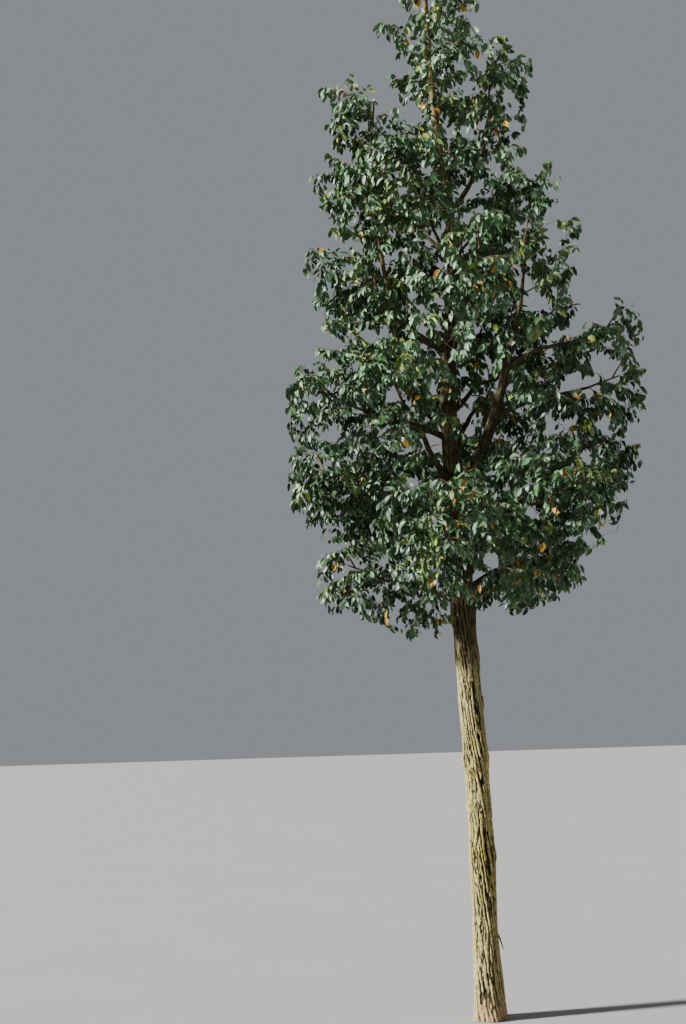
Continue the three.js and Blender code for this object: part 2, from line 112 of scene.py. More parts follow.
@dataclass(frozen=True)
class BoughPlan:
    """One tapering limb: a height on the trunk, or a carrier and the share of its length."""

    name: str
    foot: float | tuple[str, float]
    heading: float
    rise: float
    tip_rise: float
    length: float
    diameters: tuple[float, float]
    foliage: FoliagePlan | None = None
    collar: float = COLLAR_SWELL


BOUGHS = (
    BoughPlan("right_main", 3.12, -35, 50, 75, 1.0, (0.092, 0.054), FoliagePlan(-22, 75, 1.16, 0.70)),
    BoughPlan("right_shelf", ("right_main", 0.92), -8, 36, 28, 0.22, (0.036, 0.026),
              FoliagePlan(-6, 10, 0.74, 0.48)),
    BoughPlan("right_middle", ("right_main", 0.62), 8, 22, 24, 0.30, (0.040, 0.030),
              FoliagePlan(6, 10, 0.79, 0.78)),
    BoughPlan("right_long", 3.04, 14, 8, 32, 0.42, (0.052, 0.036), FoliagePlan(10, 30, 0.93, 0.80)),
    BoughPlan("right_front", 2.90, -44, 26, 18, 0.33, (0.034, 0.026), FoliagePlan(-36, 4, 0.88, 0.82)),
    BoughPlan("right_low", 2.54, 2, 40, 30, 0.26, (0.036, 0.028), FoliagePlan(2, 12, 0.64, 0.60)),
    BoughPlan("right_inner", 3.45, 52, 52, 56, 0.38, (0.040, 0.030), FoliagePlan(64, 36, 0.88, 0.82)),
    BoughPlan("right_upper", 5.12, -14, 46, 74, 0.52, (0.038, 0.026), FoliagePlan(-8, 80, 0.86, 0.60)),
    BoughPlan("left_low", 2.46, 188, 36, 22, 0.22, (0.036, 0.028), FoliagePlan(186, 16, 0.80, 0.72)),
    BoughPlan("left_long", 3.06, 182, 16, 26, 0.38, (0.046, 0.034), FoliagePlan(180, 18, 0.82, 0.78)),
    BoughPlan("left_level", 3.55, 204, 24, 12, 0.33, (0.040, 0.030), FoliagePlan(198, 16, 0.82, 0.78)),
    BoughPlan("left_front", 3.25, 232, 22, 70, 0.42, (0.044, 0.032), FoliagePlan(228, 50, 0.82, 0.80)),
    BoughPlan("left_rising", 3.59, 154, 60, 66, 0.48, (0.058, 0.040), FoliagePlan(168, 68, 1.34, 0.92)),
    BoughPlan("left_tall_foot", 4.16, 190, 14, 52, 0.38, (0.054, 0.044)),
    BoughPlan("left_tall", ("left_tall_foot", 1.0), 190, 56, 90, 0.29, (0.044, 0.036),
              FoliagePlan(188, 86, 2.10, 0.74), collar=0.0),
    BoughPlan("front_low", 2.68, 258, 34, 26, 0.24, (0.034, 0.026), FoliagePlan(264, 8, 0.84, 0.84)),
    BoughPlan("front_middle", 4.06, 292, 44, 50, 0.30, (0.038, 0.028), FoliagePlan(290, 34, 0.84, 0.84)),
    BoughPlan("front_upper", 4.70, 240, 44, 56, 0.26, (0.034, 0.026), FoliagePlan(242, 44, 0.76, 0.78)),
)

# Boughs on the back: even steps in height, and headings that step through an arc by the golden share

BACK_BOUGHS = 7
BACK_LOWEST = 2.60
BACK_STEP = 0.37
BACK_ARC_START = 24.0
BACK_ARC_SWEEP = 150.0
BACK_ARC_PHASE = 0.2
BACK_RISES = (40.0, 52.0)
BACK_LENGTHS = (0.38, 0.28)
BACK_FOOT_DIAMETERS = (0.046, 0.034)
BACK_TIP_DIAMETERS = (0.032, 0.022)
BACK_BREADTHS = (0.90, 0.74)
BACK_FOLIAGE_RISES = (4.0, 48.0)
CROWN_OUTLINE = (
    (2.2, 0.42), (2.7, 1.0), (3.6, 1.2), (4.3, 1.16), (5.2, 0.88), (6.2, 0.60), (7.0, 0.42), (8.0, 0.12),
)

# Foliage borne straight on the trunk up to the leader's tip

SPIRE_MASSES = 10
SPIRE_HEIGHTS = (4.48, 7.33)
SPIRE_FIRST_HEADING = 120.0
SPIRE_RISES = (40.0, 84.0)
SPIRE_REACHES = (0.99, 0.57)
SPIRE_BREADTHS = (0.71, 0.40)
SPIRE_STEM_DIAMETERS = (0.024, 0.012)
SPIRE_FIRST_SEED = 101

# Side twigs of a stem, and the places on them that bear sprays

TWIG_SPACING = 0.185
TWIG_SHARES = (0.12, 0.92)
FEWEST_TWIGS = 3
TWIG_ANGLES = (1.35, 0.6)
TWIG_LENGTHS = (0.4, 0.6)
TWIG_SHORTENING = 0.8
TWIG_SHORTEST = 0.09
TWIG_SPRAYS = (1.0, 0.72, 0.44)
STEM_SPRAYS = (1.0, 0.82, 0.64, 0.46, 0.28, 0.1)
RANDOM_FACTOR = 1664525
RANDOM_STEP = 1013904223
RANDOM_RANGE = 2**32


class Slot(Enum):
    """Names of three material slots; nothing in this script uses them."""

    TRUNK = "trunk_bark"
    BOUGH = "bough_bark"
    FOLIAGE = "foliage"


class Tint(Enum):
    """The plain leaf colours that are dealt out by spray."""

    # A darker green, dealt out most low in the crown: partly painted shade of the lower crown
    DEEP = 0
    GREEN = 1
    # A pale grey green: a painted sky sheen, dealt out most high in the crown
    GREY = 2
    OLIVE = 3
    FRESH = 4
    AMBER = 5


def between(pair: tuple[float, float], share: float) -> float:
    """The value at a share of the way between the two of a pair."""
    return pair[0] + (pair[1] - pair[0]) * share


def unit(vector: Array) -> Array:
    """A vector, or each of a row of them, at length one."""
    return vector / np.maximum(1e-9, np.linalg.norm(vector, axis=-1, keepdims=True))


def direction(heading: float, rise: float) -> Array:
    """The unit vector with a heading, 0 to the right and 90 to the back, and a rise above level."""
    turn, tilt = math.radians(heading), math.radians(rise)
    return np.array((math.cos(tilt) * math.cos(turn), math.cos(tilt) * math.sin(turn), math.sin(tilt)))


def turned(vector: Array, axis: Array, angle: float) -> Array:
    """A vector turned round a unit axis by an angle in radians."""
    cosine, sine = math.cos(angle), math.sin(angle)
    return vector * cosine + np.cross(axis, vector) * sine + axis * (vector @ axis) * (1 - cosine)


def leaning(axis: Array, angle: float, around: float) -> Array:
    """A direction leaning off an axis, turned round it.

    Args:
        axis: The unit axis.
        angle: The lean in radians.
        around: The turn round the axis in radians.

    Returns:
        A unit vector.
    """
    aside = RIGHT if abs(axis[2]) > NEAR_UPRIGHT else UP
    spoke = turned(unit(np.cross(axis, aside)), axis, around)
    return unit(axis * math.cos(angle) + spoke * math.sin(angle))


def placed(x_axis: Array, y_axis: Array, z_axis: Array, place: Array) -> Matrix:
    """The matrix of an object with its own unit axes and its place."""
    rows = np.column_stack((x_axis, y_axis, z_axis, place)).tolist()
    return Matrix([*rows, (0, 0, 0, 1)])


class SeededRandom:
    """Numbers from 0 to 1 by the solid model's own rule: one seed always gives one row of them."""

    def __init__(self, seed: int) -> None:
        """Starts the row.

        Args:
            seed: The first state.
        """
        self.state = seed

    def __call__(self) -> float:
        """The next number."""
        self.state = (self.state * RANDOM_FACTOR + RANDOM_STEP) % RANDOM_RANGE
        return self.state / RANDOM_RANGE

    def within(self, low: float, high: float) -> float:
        """The next number, between two limits."""
        return low + (high - low) * self()

    def vector(self) -> Array:
        """A vector whose parts are from -1 to 1."""
        return np.array([self.within(-1, 1) for _ in range(3)])


class TrunkLine:
    """The trunk's bent axis and its radius by height."""

    SAMPLES = 60

    def __init__(self) -> None:
        """Carries a smooth curve through the axis's named points."""
        knots = np.array([(right, back, height) for height, right, back in TRUNK_AXIS])
        ends = np.vstack((2 * knots[0] - knots[1], knots, 2 * knots[-1] - knots[-2]))
        slopes = (ends[2:] - ends[:-2]) / 2
        share = np.linspace(0, 1, self.SAMPLES)[:, None]
        parts = [
            (2 * share**3 - 3 * share**2 + 1) * knots[i]
            + (share**3 - 2 * share**2 + share) * slopes[i]
            + (3 * share**2 - 2 * share**3) * knots[i + 1]
            + (share**3 - share**2) * slopes[i + 1]
            for i in range(len(knots) - 1)
        ]
        self.samples = np.vstack(parts)

    def centre(self, heights: Array) -> Array:
        """The axis's points at some heights."""
        x, y, z = self.samples.T
        return np.stack((np.interp(heights, z, x), np.interp(heights, z, y), heights), axis=-1)

    def radius(self, heights: Array) -> Array:
        """The radius at some heights."""
        table = np.array(TRUNK_DIAMETERS)
        return np.interp(heights, table[:, 0], table[:, 1]) / 2


class Limb:
    """A tapering limb, whose stations hold its centre and radius along its route."""

    def __init__(self, foot: Array, heading: float, rise: float, tip_rise: float, length: float,
                 diameters: tuple[float, float], step: float, collar: float = 0.0) -> None:
        """Walks the limb's route.

        Args:
            foot: Where it starts, on its carrier's axis.
            heading: Its heading.
            rise: Its rise at the foot.
            tip_rise: Its rise at the tip.
            length: Its length.
            diameters: Its diameters at the foot and the tip.
            step: The longest way between stations.
            collar: How much it swells at the foot.
        """
        count = max(2, int(length / step + 0.5))
        shares = np.linspace(0, 1, count + 1)
        strides = [direction(heading, between((rise, tip_rise), share + 0.5 / count)) for share in shares]
        self.points = foot + np.vstack((np.zeros(3), np.cumsum(strides[:-1], axis=0))) * length / count
        swell = 1 + collar * np.exp(-shares * length / COLLAR_LENGTH)
        self.radii = (diameters[0] + (diameters[1] - diameters[0]) * shares**TAPER_POWER) * swell / 2
        self.tip_tangent = direction(heading, tip_rise)
        self.length = length

    def at(self, share: float) -> tuple[Array, Array]:
        """The point and the tangent at a share of the length.

        Args:
            share: From 0 at the foot to 1 at the tip.

        Returns:
            The point and the unit tangent.
        """
        place = share * (len(self.points) - 1)
        index = min(int(place), len(self.points) - 2)
        chord = self.points[index + 1] - self.points[index]
        return self.points[index] + chord * (place - index), unit(chord)


class Space:
    """The space that a mass of foliage keeps to: a blunt egg, cut off by walls to its neighbours."""

    def __init__(self, root: Array, axis: Array, reach: float, breadth: float) -> None:
        """Places the space.

        Args:
            root: Where the mass's stem starts.
            axis: The unit direction of its reach.
            reach: How far it goes from the root.
            breadth: How broad it is.
        """
        self.axis = axis
        self.half_reach = reach * (1 + SPACE_BEHIND) / 2
        self.half_breadth = breadth / 2
        self.centre = root + axis * (reach - self.half_reach)
        self.normals: list[Array] = []
        self.levels: list[float] = []

    def fill(self, points: Array) -> Array:
        """How far out points lie.

        Args:
            points: One point a row.

        Returns:
            One number a point: 1 on the egg's skin and less inside it.
        """
        offset = points - self.centre
        along = offset @ self.axis
        across = np.sqrt(np.maximum(0, (offset**2).sum(axis=-1) - along**2))
        parts = (along / self.half_reach, across / self.half_breadth)
        return sum(np.abs(part)**SPACE_BLUNTNESS for part in parts)

    def holds(self, points: Array, past_walls: float = 0.0) -> Array:
        """Whether points are inside.

        Args:
            points: One point a row.
            past_walls: How far a point may go past a wall.

        Returns:
            One truth value a point.
        """
        inside = self.fill(points) <= 1
        depths = points @ np.array(self.normals).T - np.array(self.levels)
        return inside & (depths >= -past_walls).all(axis=-1)

    def part(self, other: "Space") -> None:
        """Puts a wall between this space and another, nearer to the smaller one.

        Args:
            other: The other space.
        """
        normal = unit(self.centre - other.centre)
        share = other.half_breadth / (self.half_breadth + other.half_breadth)
        level = float(normal @ (other.centre + (self.centre - other.centre) * share))
        self.normals.append(normal)
        self.levels.append(level)
        other.normals.append(-normal)
        other.levels.append(-level)


class LimbField:
    """The trunk and every bough as short tapering lengths, to tell what would touch one."""

    CHUNK = 4096

    def __init__(self, limbs: list[tuple[Array, Array]]) -> None:
        """Gathers the lengths.

        Args:
            limbs: The points and the radii of each limb.
        """
        self.starts = np.vstack([points[:-1] for points, _ in limbs])
        self.chords = np.vstack([points[1:] - points[:-1] for points, _ in limbs])
        self.radii = np.concatenate([radii[:-1] for _, radii in limbs])
        self.ends = np.concatenate([radii[1:] for _, radii in limbs])
        self.squares = (self.chords**2).sum(axis=1)

    def gap(self, points: Array) -> Array:
        """The distance of each point from the nearest bark.

        Args:
            points: One point a row.

        Returns:
            One distance a point, below nought inside a limb.
        """
        gaps = []
        for first in range(0, len(points), self.CHUNK):
            offset = points[first:first + self.CHUNK, None, :] - self.starts
            share = np.clip((offset * self.chords).sum(axis=2) / self.squares, 0, 1)
            away = np.linalg.norm(offset - share[..., None] * self.chords, axis=2)
            gaps.append((away - self.radii - (self.ends - self.radii) * share).min(axis=1))
        return np.concatenate(gaps)


@dataclass(frozen=True)
class Viewpoint:
    """The camera: where it stands, how it is turned and the lens."""

    position: tuple[float, float, float] = (0.0, -7.7375, 1.60)
    turn_left: float = 5.7757
    pitch: float = 11.0
    roll: float = 1.8
    focal_pixels: float = 1220.0
    image_height: int = 1024
    sensor: float = 36.0

    def place(self) -> None:
        """Makes the camera and gives it to the scene."""
        turn, pitch, roll = (math.radians(angle) for angle in (self.turn_left, self.pitch, self.roll))
        right = np.array((math.cos(turn), math.sin(turn), 0.0))
        level = np.array((-math.sin(turn), math.cos(turn), 0.0))
        ahead = level * math.cos(pitch) + UP * math.sin(pitch)
        up = np.cross(right, ahead)
        rolled_right = right * math.cos(roll) - up * math.sin(roll)
        rolled_up = right * math.sin(roll) + up * math.cos(roll)
        camera = bpy.data.objects.new("camera", bpy.data.cameras.new("camera"))
        camera.data.sensor_width = self.sensor
        camera.data.lens = self.focal_pixels / self.image_height * self.sensor
        camera.data.clip_end = 1000.0
        camera.matrix_world = placed(rolled_right, rolled_up, -ahead, self.position)
        bpy.context.scene.collection.objects.link(camera)
        bpy.context.scene.camera = camera


EYE = np.array(Viewpoint().position)


@dataclass(frozen=True)
class Opening:
    """A place that leaves keep clear of as the tree is seen from its front.

    It lies at a place on the trunk's plane. It goes right through the crown, or else only as far as
    the wood that shows in it.
    """

    right: float
    height: float
    radius: float
    through: bool = True

    def clears(self, points: Array) -> Array:
        """Whether each point is in the opening.

        Args:
            points: One point a row.

        Returns:
            One truth value a point.
        """
        share = EYE[1] / (EYE[1] - points[:, 1])
        across = EYE[0] + (points[:, 0] - EYE[0]) * share - self.right
        above = EYE[2] + (points[:, 2] - EYE[2]) * share - self.height
        inside = across**2 + above**2 < self.radius**2
        return inside & (self.through | (points[:, 1] < 0))


LEADER_IN_VIEW = (5.36, 7.9, 0.09)
LEADER_CLEARANCE = 0.022
# Where the photo shows sky or bare wood: the place on the trunk's plane, to the right and up, and a radius

SKY_BELOW_CROWN = (
    (-0.493, 2.194, 0.133), (-0.662, 2.264, 0.147), (-0.84, 2.309, 0.147), (0.512, 2.349, 0.107),
    (0.139, 2.37, 0.093), (0.061, 2.673, 0.042), (0.148, 2.765, 0.055),
)
SKY_RIGHT_OF_CROWN = (
    (0.85, 3.87, 0.065), (0.74, 3.91, 0.058), (1.0, 3.93, 0.058), (0.94, 4.01, 0.078),
    (0.65, 4.23, 0.046), (0.84, 4.35, 0.059), (0.94, 4.39, 0.105), (0.53, 4.44, 0.033),
    (0.43, 4.71, 0.033), (0.81, 4.74, 0.053), (0.99, 4.79, 0.145), (0.68, 4.93, 0.067),
    (1.0, 5.03, 0.093), (0.72, 5.06, 0.033), (0.78, 5.26, 0.054), (0.87, 5.4, 0.121), (0.56, 5.44, 0.081),
    (0.69, 5.67, 0.088), (0.46, 5.74, 0.034), (0.69, 5.9, 0.123), (0.7, 6.04, 0.102), (0.55, 6.44, 0.11),
)
SKY_LEFT_OF_CROWN = (
    (-0.83, 4.98, 0.041), (-0.84, 5.11, 0.048), (-0.97, 5.57, 0.097), (-0.68, 5.63, 0.034),
    (-0.85, 5.73, 0.09), (-0.23, 5.89, 0.076), (-0.93, 5.93, 0.153), (-0.387, 6.009, 0.085),
    (-0.92, 6.18, 0.098), (-0.27, 6.23, 0.062), (-0.434, 6.241, 0.098), (-0.4, 6.38, 0.098),
    (-0.69, 6.42, 0.091), (-0.51, 6.463, 0.08),
)
SKY_IN_CROWN = (
    (0.43, 3.05, 0.045), (-0.307, 3.299, 0.035), (0.788, 3.403, 0.04), (-0.186, 3.552, 0.08),
    (0.05, 3.62, 0.04), (0.57, 3.62, 0.032), (-0.105, 3.64, 0.04), (0.07, 3.72, 0.045),
    (0.03, 3.72, 0.052), (0.38, 3.75, 0.026), (0.08, 3.83, 0.045), (0.05, 3.84, 0.046),
    (-0.447, 3.88, 0.04), (0.7, 3.88, 0.045), (-0.42, 3.89, 0.04), (0.34, 3.89, 0.033),
    (-0.16, 3.91, 0.033), (0.06, 4.01, 0.026), (-0.66, 4.11, 0.033), (0.598, 4.121, 0.04),
    (-0.12, 4.17, 0.033), (-0.21, 4.2, 0.033), (-0.558, 4.302, 0.05), (-0.21, 4.32, 0.04),
    (-0.58, 4.32, 0.047), (-0.47, 4.34, 0.033), (-0.11, 4.34, 0.027), (0.57, 4.45, 0.053),
    (-0.22, 4.47, 0.033), (-0.089, 4.515, 0.04), (-0.27, 4.56, 0.033), (0.508, 4.577, 0.04),
    (0.46, 4.62, 0.046), (-0.07, 4.77, 0.033), (0.1, 4.89, 0.04), (-0.09, 4.93, 0.034),
    (-0.09, 4.99, 0.04), (0.12, 5.08, 0.04), (0.21, 5.15, 0.034), (0.07, 5.3, 0.027), (0.19, 5.31, 0.034),
    (-0.31, 5.32, 0.041), (-0.35, 5.45, 0.027), (0.27, 5.45, 0.027), (-0.13, 5.46, 0.041),
    (0.25, 5.76, 0.034),
)
BARE_WOOD = (
    (-0.068, 2.506, 0.045), (-0.18, 2.537, 0.05), (-0.06, 3.05, 0.05), (-0.23, 3.4, 0.055),
    (-0.07, 3.45, 0.07), (-0.31, 3.5, 0.06), (0.165, 3.6, 0.06), (-0.345, 3.62, 0.05),
    (-0.065, 3.78, 0.055), (0.235, 3.78, 0.06), (-0.035, 4.2, 0.06), (-0.014, 4.706, 0.045),
)
SKY = SKY_BELOW_CROWN + SKY_RIGHT_OF_CROWN + SKY_LEFT_OF_CROWN + SKY_IN_CROWN
SEEN_THROUGH = np.array(SKY)
OPENINGS = (
    *(Opening(*row) for row in SKY),
    *(Opening(*row, through=False) for row in BARE_WOOD),
)
SPECKS = 150
SPECK_HEIGHTS = (3.0, 6.7)
SPECK_RADII = (0.014, 0.028)
SPECK_SEED = 7
FOOT_REACH = 0.02


def specks(random: SeededRandom) -> list[Opening]:
    """Small openings dealt out over the crown as it is seen from its front.

    Args:
        random: What deals them out.

    Returns:
        The openings.
    """
    outline = np.array(CROWN_OUTLINE)
    made = []
    for _ in range(SPECKS):
        height = random.within(*SPECK_HEIGHTS)
        breadth = float(np.interp(height, outline[:, 0], outline[:, 1]))
        made.append(Opening(random.within(-breadth, breadth), height, random.within(*SPECK_RADII)))
    return made


def clear_of_sky(points: Array) -> Array:
    """Whether points keep out of the openings that go right through the crown.

    Args:
        points: One point a row.

    Returns:
        One truth value a point.
    """
    share = EYE[1] / (EYE[1] - points[:, 1:2])
    seen = EYE[[0, 2]] + (points[:, [0, 2]] - EYE[[0, 2]]) * share
    away = np.linalg.norm(seen[:, None] - SEEN_THROUGH[:, :2], axis=2)
    return (away > SEEN_THROUGH[:, 2]).all(axis=1)


def end_of_use(points: Array, feet: list[Array]) -> int:
    """How many points a stem or twig needs to reach what it bears and all that is clear of open sky.

    Args:
        points: Its points.
        feet: Where the twigs start that it may bear.

    Returns:
        The count of its first points.
    """
    used = clear_of_sky(points)
    if feet:
        used |= np.linalg.norm(points[:, None] - np.array(feet), axis=2).min(axis=1) < FOOT_REACH
    return int(np.flatnonzero(used)[-1]) + 1 if used.any() else 0


@dataclass
class Growth:
    """What the crown has grown so far: thin wood, and leaves with their set and tint."""

    twigs: list[tuple[Array, Array]] = field(default_factory=list)
    shoots: list[tuple[Array, Array]] = field(default_factory=list)
    places: list[Array] = field(default_factory=list)
    alongs: list[Array] = field(default_factory=list)
    uppers: list[Array] = field(default_factory=list)
    lengths: list[float] = field(default_factory=list)
    tints: list[int] = field(default_factory=list)
    owners: list[int] = field(default_factory=list)
    middles: list[Array] = field(default_factory=list)


@dataclass(frozen=True)
class SprayHabit:
    """How sprays grow: a shoot with side shoots on both sides, and leaves by turns along each."""

    length: float = 0.40
    shortest: float = 0.10
    tries: int = 16
    end_spread: float = 0.30
    spreads: tuple[float, float] = (0.35, 1.5)
    steps: int = 9
    fewest_steps: int = 3
    wander: float = 0.10
    droops: tuple[float, float] = (2.6, 0.4)
    thickness: tuple[float, float] = (0.0042, 0.0014)
    side_spacing: float = 0.030
    side_angle: float = 0.85
    side_share: float = 0.42
    side_shortest: float = 0.035
    side_steps: int = 4
    side_thickness: tuple[float, float] = (0.0022, 0.0011)
    internode: float = 0.0225
    leaf_angle: float = 0.95
    leaf_lengths: tuple[float, float] = (0.055, 0.066)
    leaf_sizes: tuple[float, float] = (0.66, 1.38)
    leaf_droops: tuple[float, float] = (0.35, 2.2)
    leaf_clearance: float = 0.004
    wood_clearance: float = 0.006
    past_walls: float = 0.02
    hollows: tuple[float, float] = (0.096, 0.112)
    hollow_density: float = 6000.0


HABIT = SprayHabit()


def height_share(place: Array) -> float:
    """How high in the crown a place is, from 0 at its foot to 1 at the leader's tip."""
    foot = CROWN_OUTLINE[0][0]
    return min(1.0, max(0.0, (float(place[2]) - foot) / (TREE_HEIGHT - foot)))


class FoliageMass:
    """One mass of foliage: a stem, side twigs by the golden angle, and sprays on both."""

    # Cumulative shares of the tints from the crown's foot to its top: deep green most low down is painted
    # shade of the lower crown, partly real darker shade leaves; grey green most high up is a painted sky
    # sheen
    TINT_SHARES_WITH_PAINTED_LIGHT = {
        Tint.DEEP: (0.60, 0.0), Tint.GREEN: (0.86, 0.26), Tint.GREY: (0.94, 0.82), Tint.OLIVE: (1.0, 1.0),
    }
    TURNING_SPRAYS = 0.11
    TURNING_LEAVES = 0.10
    FRESH_SPRAYS = 0.09
    FRESH_LEAVES = 0.30
    STEM_TIP = 0.0045
    TWIG_THICKNESS = (0.0062, 0.0030)
    TWIG_POINTS = 9
    TWIG_BOW = 0.06
    BOX_MARGIN = 0.004

    # How sprays look for room

    FIRST_PROBE = 0.15
    PROBES = 12
    STEM_SHARES = (0.1, 1.0)
    NEAR_SPRAYS = 400
    NEAR_HOLLOW = 600
    SPRAY_SHARES = (0.75, 1.1)
    SLIM_SHARE = 0.35
    BREADTH_SHARE = 0.9
    MIDDLE = 0.6
    FAR_APART = 0.3
    APART_WEIGHT = 2.0
    HOLLOW_GAP = 0.03
    PAST_TARGET = 1.25

    # How shoots and leaves stray from their rule

    ANGLES = (0.75, 1.2)
    DROOP_SHARES = (0.4, 1.2)
    SIDE_SHARES = (0.6, 1.25)
    SIDE_SHORTENING = 0.6
    SHORT_SPRAY = 0.55
    FLAT_STRAY = 0.5
    SIDE_STRAY = 0.25
    FIRST_LEAF = 0.8
    END_LEAF_ANGLE = 0.15
    LEAF_STRAY = 0.16
    LEAF_FACING = 0.6
    LEAF_TURN = 0.9

    def __init__(self, name: str, bearer: str, root: Array, plan: FoliagePlan, stem_diameter: float,
                 seed: int) -> None:
        """Places the stem and its space.

        Args:
            name: The name of the solid that the mass stands for.
            bearer: The bough that bears it, or an empty name for the trunk.
            root: Where the stem starts.
            plan: Its heading, rise, reach and breadth.
            stem_diameter: The stem's diameter at its foot.
            seed: The seed of its random numbers.
        """
        self.name = name
        self.bearer = bearer
        self.space = Space(root, direction(plan.heading, plan.rise), plan.reach, plan.breadth)
        sizes = (plan.heading, plan.rise - STEM_LIFT / 2, plan.rise + STEM_LIFT, plan.reach * STEM_SHARE)
        self.stem = Limb(root, *sizes, (stem_diameter, 2 * self.STEM_TIP), STEM_STEP)
        self.random = SeededRandom(seed)
        self.wood: list[Array] = []
        self.feet: list[Array] = []

    def clear_of_limbs(self, points: Array) -> Array:
        """Whether points keep off the trunk and the boughs."""
        return self.limbs.gap(points) > HABIT.wood_clearance

    def side_twigs(self) -> list[Array]:
        """The side twigs by the solid model's rule, each shortened until it fits.

        Returns:
            The points of each twig.
        """
        count = max(FEWEST_TWIGS, int(self.stem.length / TWIG_SPACING + 0.5))
        shares = np.linspace(0, 1, self.TWIG_POINTS)[:, None]
        twigs = []
        for i in range(count):
            share = between(TWIG_SHARES, i / (count - 1))
            turn = i * GOLDEN_ANGLE + self.random()
            length = self.space.half_breadth * between(TWIG_LENGTHS, self.random())
            foot, tangent = self.stem.at(share)
            out = leaning(tangent, between(TWIG_ANGLES, share), turn)
            while length > TWIG_SHORTEST:
                bow = UP * 4 * self.TWIG_BOW * length * shares * (1 - shares)
                points = foot + out * length * shares + bow
                if self.space.holds(points).all() and self.clear_of_limbs(points).all():
                    twigs.append(points)
                    break
                length *= TWIG_SHORTENING
        return twigs

    def free_length(self, place: Array, out: Array, length: float) -> float:
        """How far a shoot can go before it leaves the space or comes near a limb.

        Args:
            place: Where it starts.
            out: Its direction.
            length: The most that it may go.

        Returns:
            The length that is free.
        """
        shares = np.linspace(self.FIRST_PROBE, 1, self.PROBES)
        points = place + out * length * shares[:, None]
        free = self.space.holds(points) & self.clear_of_limbs(points)
        return length * (1.0 if free.all() else float(shares[int(np.argmin(free))]) - self.FIRST_PROBE)

    def shoot(self, place: Array, out: Array, length: float, droop: float, steps: int) -> Array:
        """The points of a shoot that bends down under its own weight.

        Args:
            place: Where it starts.
            out: Its first direction.
            length: Its length.
            droop: How fast it bends down.
            steps: How many steps it is walked in.

        Returns:
            Its points.
        """
        points = [place]
        stride = length / steps
        for _ in range(steps):
            out = unit(out - UP * droop * stride + self.random.vector() * HABIT.wander)
            points.append(points[-1] + out * stride)
        return np.array(points)

    def kept_part(self, points: Array) -> Array:
        """The part of a shoot before it leaves the space, meets open sky or comes near a limb.

        Args:
            points: The shoot's points.

        Returns:
            Its first points, all of them where nothing is in the way.
        """
        low, high = (np.array(corner) for corner in CAD_BOX)
        free = self.space.holds(points, HABIT.past_walls) & self.clear_of_limbs(points)
        free &= ((points > low + self.BOX_MARGIN) & (points < high - self.BOX_MARGIN)).all(axis=1)
        free &= clear_of_sky(points)
        free[:2] = True
        return points if free.all() else points[:int(np.argmin(free))]

    def leaves_on(self, points: Array, flat: Array, tints: tuple[Tint, Tint, float]) -> None:
        """Sets leaves by turns on both sides of a shoot, and one at its end.

        Args:
            points: The shoot's points.
            flat: The side on which the first one stands.
            tints: The spray's own tint, a second one, and the share of leaves that have it.
        """
        growth = self.growth
        strides = np.linalg.norm(np.diff(points, axis=0), axis=1)
        travelled = np.concatenate(((0.0,), np.cumsum(strides)))
        places = np.arange(HABIT.internode * self.FIRST_LEAF, travelled[-1], HABIT.internode)
        outward = unit(points[-1] - self.stem.points[0])
        usual = between(HABIT.leaf_lengths, height_share(points[0]))
        for i, way in enumerate((*places, travelled[-1])):
            index = min(int(np.searchsorted(travelled, way, side="right")) - 1, len(strides) - 1)
            tangent = (points[index + 1] - points[index]) / strides[index]
            place = points[index] + tangent * (way - travelled[index])
            at_end = i == len(places)
            angle = self.END_LEAF_ANGLE if at_end else HABIT.leaf_angle * self.random.within(*self.ANGLES)
            side = flat if i % 2 else -flat
            along = tangent * math.cos(angle) + side * math.sin(angle)
            along = unit(along + self.random.vector() * self.LEAF_STRAY)
            along = unit(along - UP * self.random.within(*HABIT.leaf_droops))
            upper = UP * self.LEAF_FACING + outward * self.LEAF_FACING
            upper = upper + self.random.vector() * self.LEAF_TURN
            growth.places.append(place)
            growth.alongs.append(along)
            growth.uppers.append(unit(upper - along * (upper @ along)))
            growth.lengths.append(usual * self.random.within(*HABIT.leaf_sizes))
            growth.tints.append(tints[1 if self.random() < tints[2] else 0].value)
            growth.owners.append(self.owner)

    def spray_tints(self, place: Array) -> tuple[Tint, Tint, float]:
        """Deals a spray its tint, and how many of its leaves have turned or are fresh.

        Args:
            place: Where the spray starts.

        Returns:
            Its own tint, a second one, and the share of leaves that have it.
        """
        draw = self.random()
        height = height_share(place)
        own = next(tint for tint, shares in self.TINT_SHARES_WITH_PAINTED_LIGHT.items() if draw <= between(shares, height))
        other = self.random()
        if other < self.TURNING_SPRAYS:
            return own, Tint.AMBER, self.TURNING_LEAVES
        if other < self.TURNING_SPRAYS + self.FRESH_SPRAYS:
            return own, Tint.FRESH, self.FRESH_LEAVES
        return own, own, 0.0

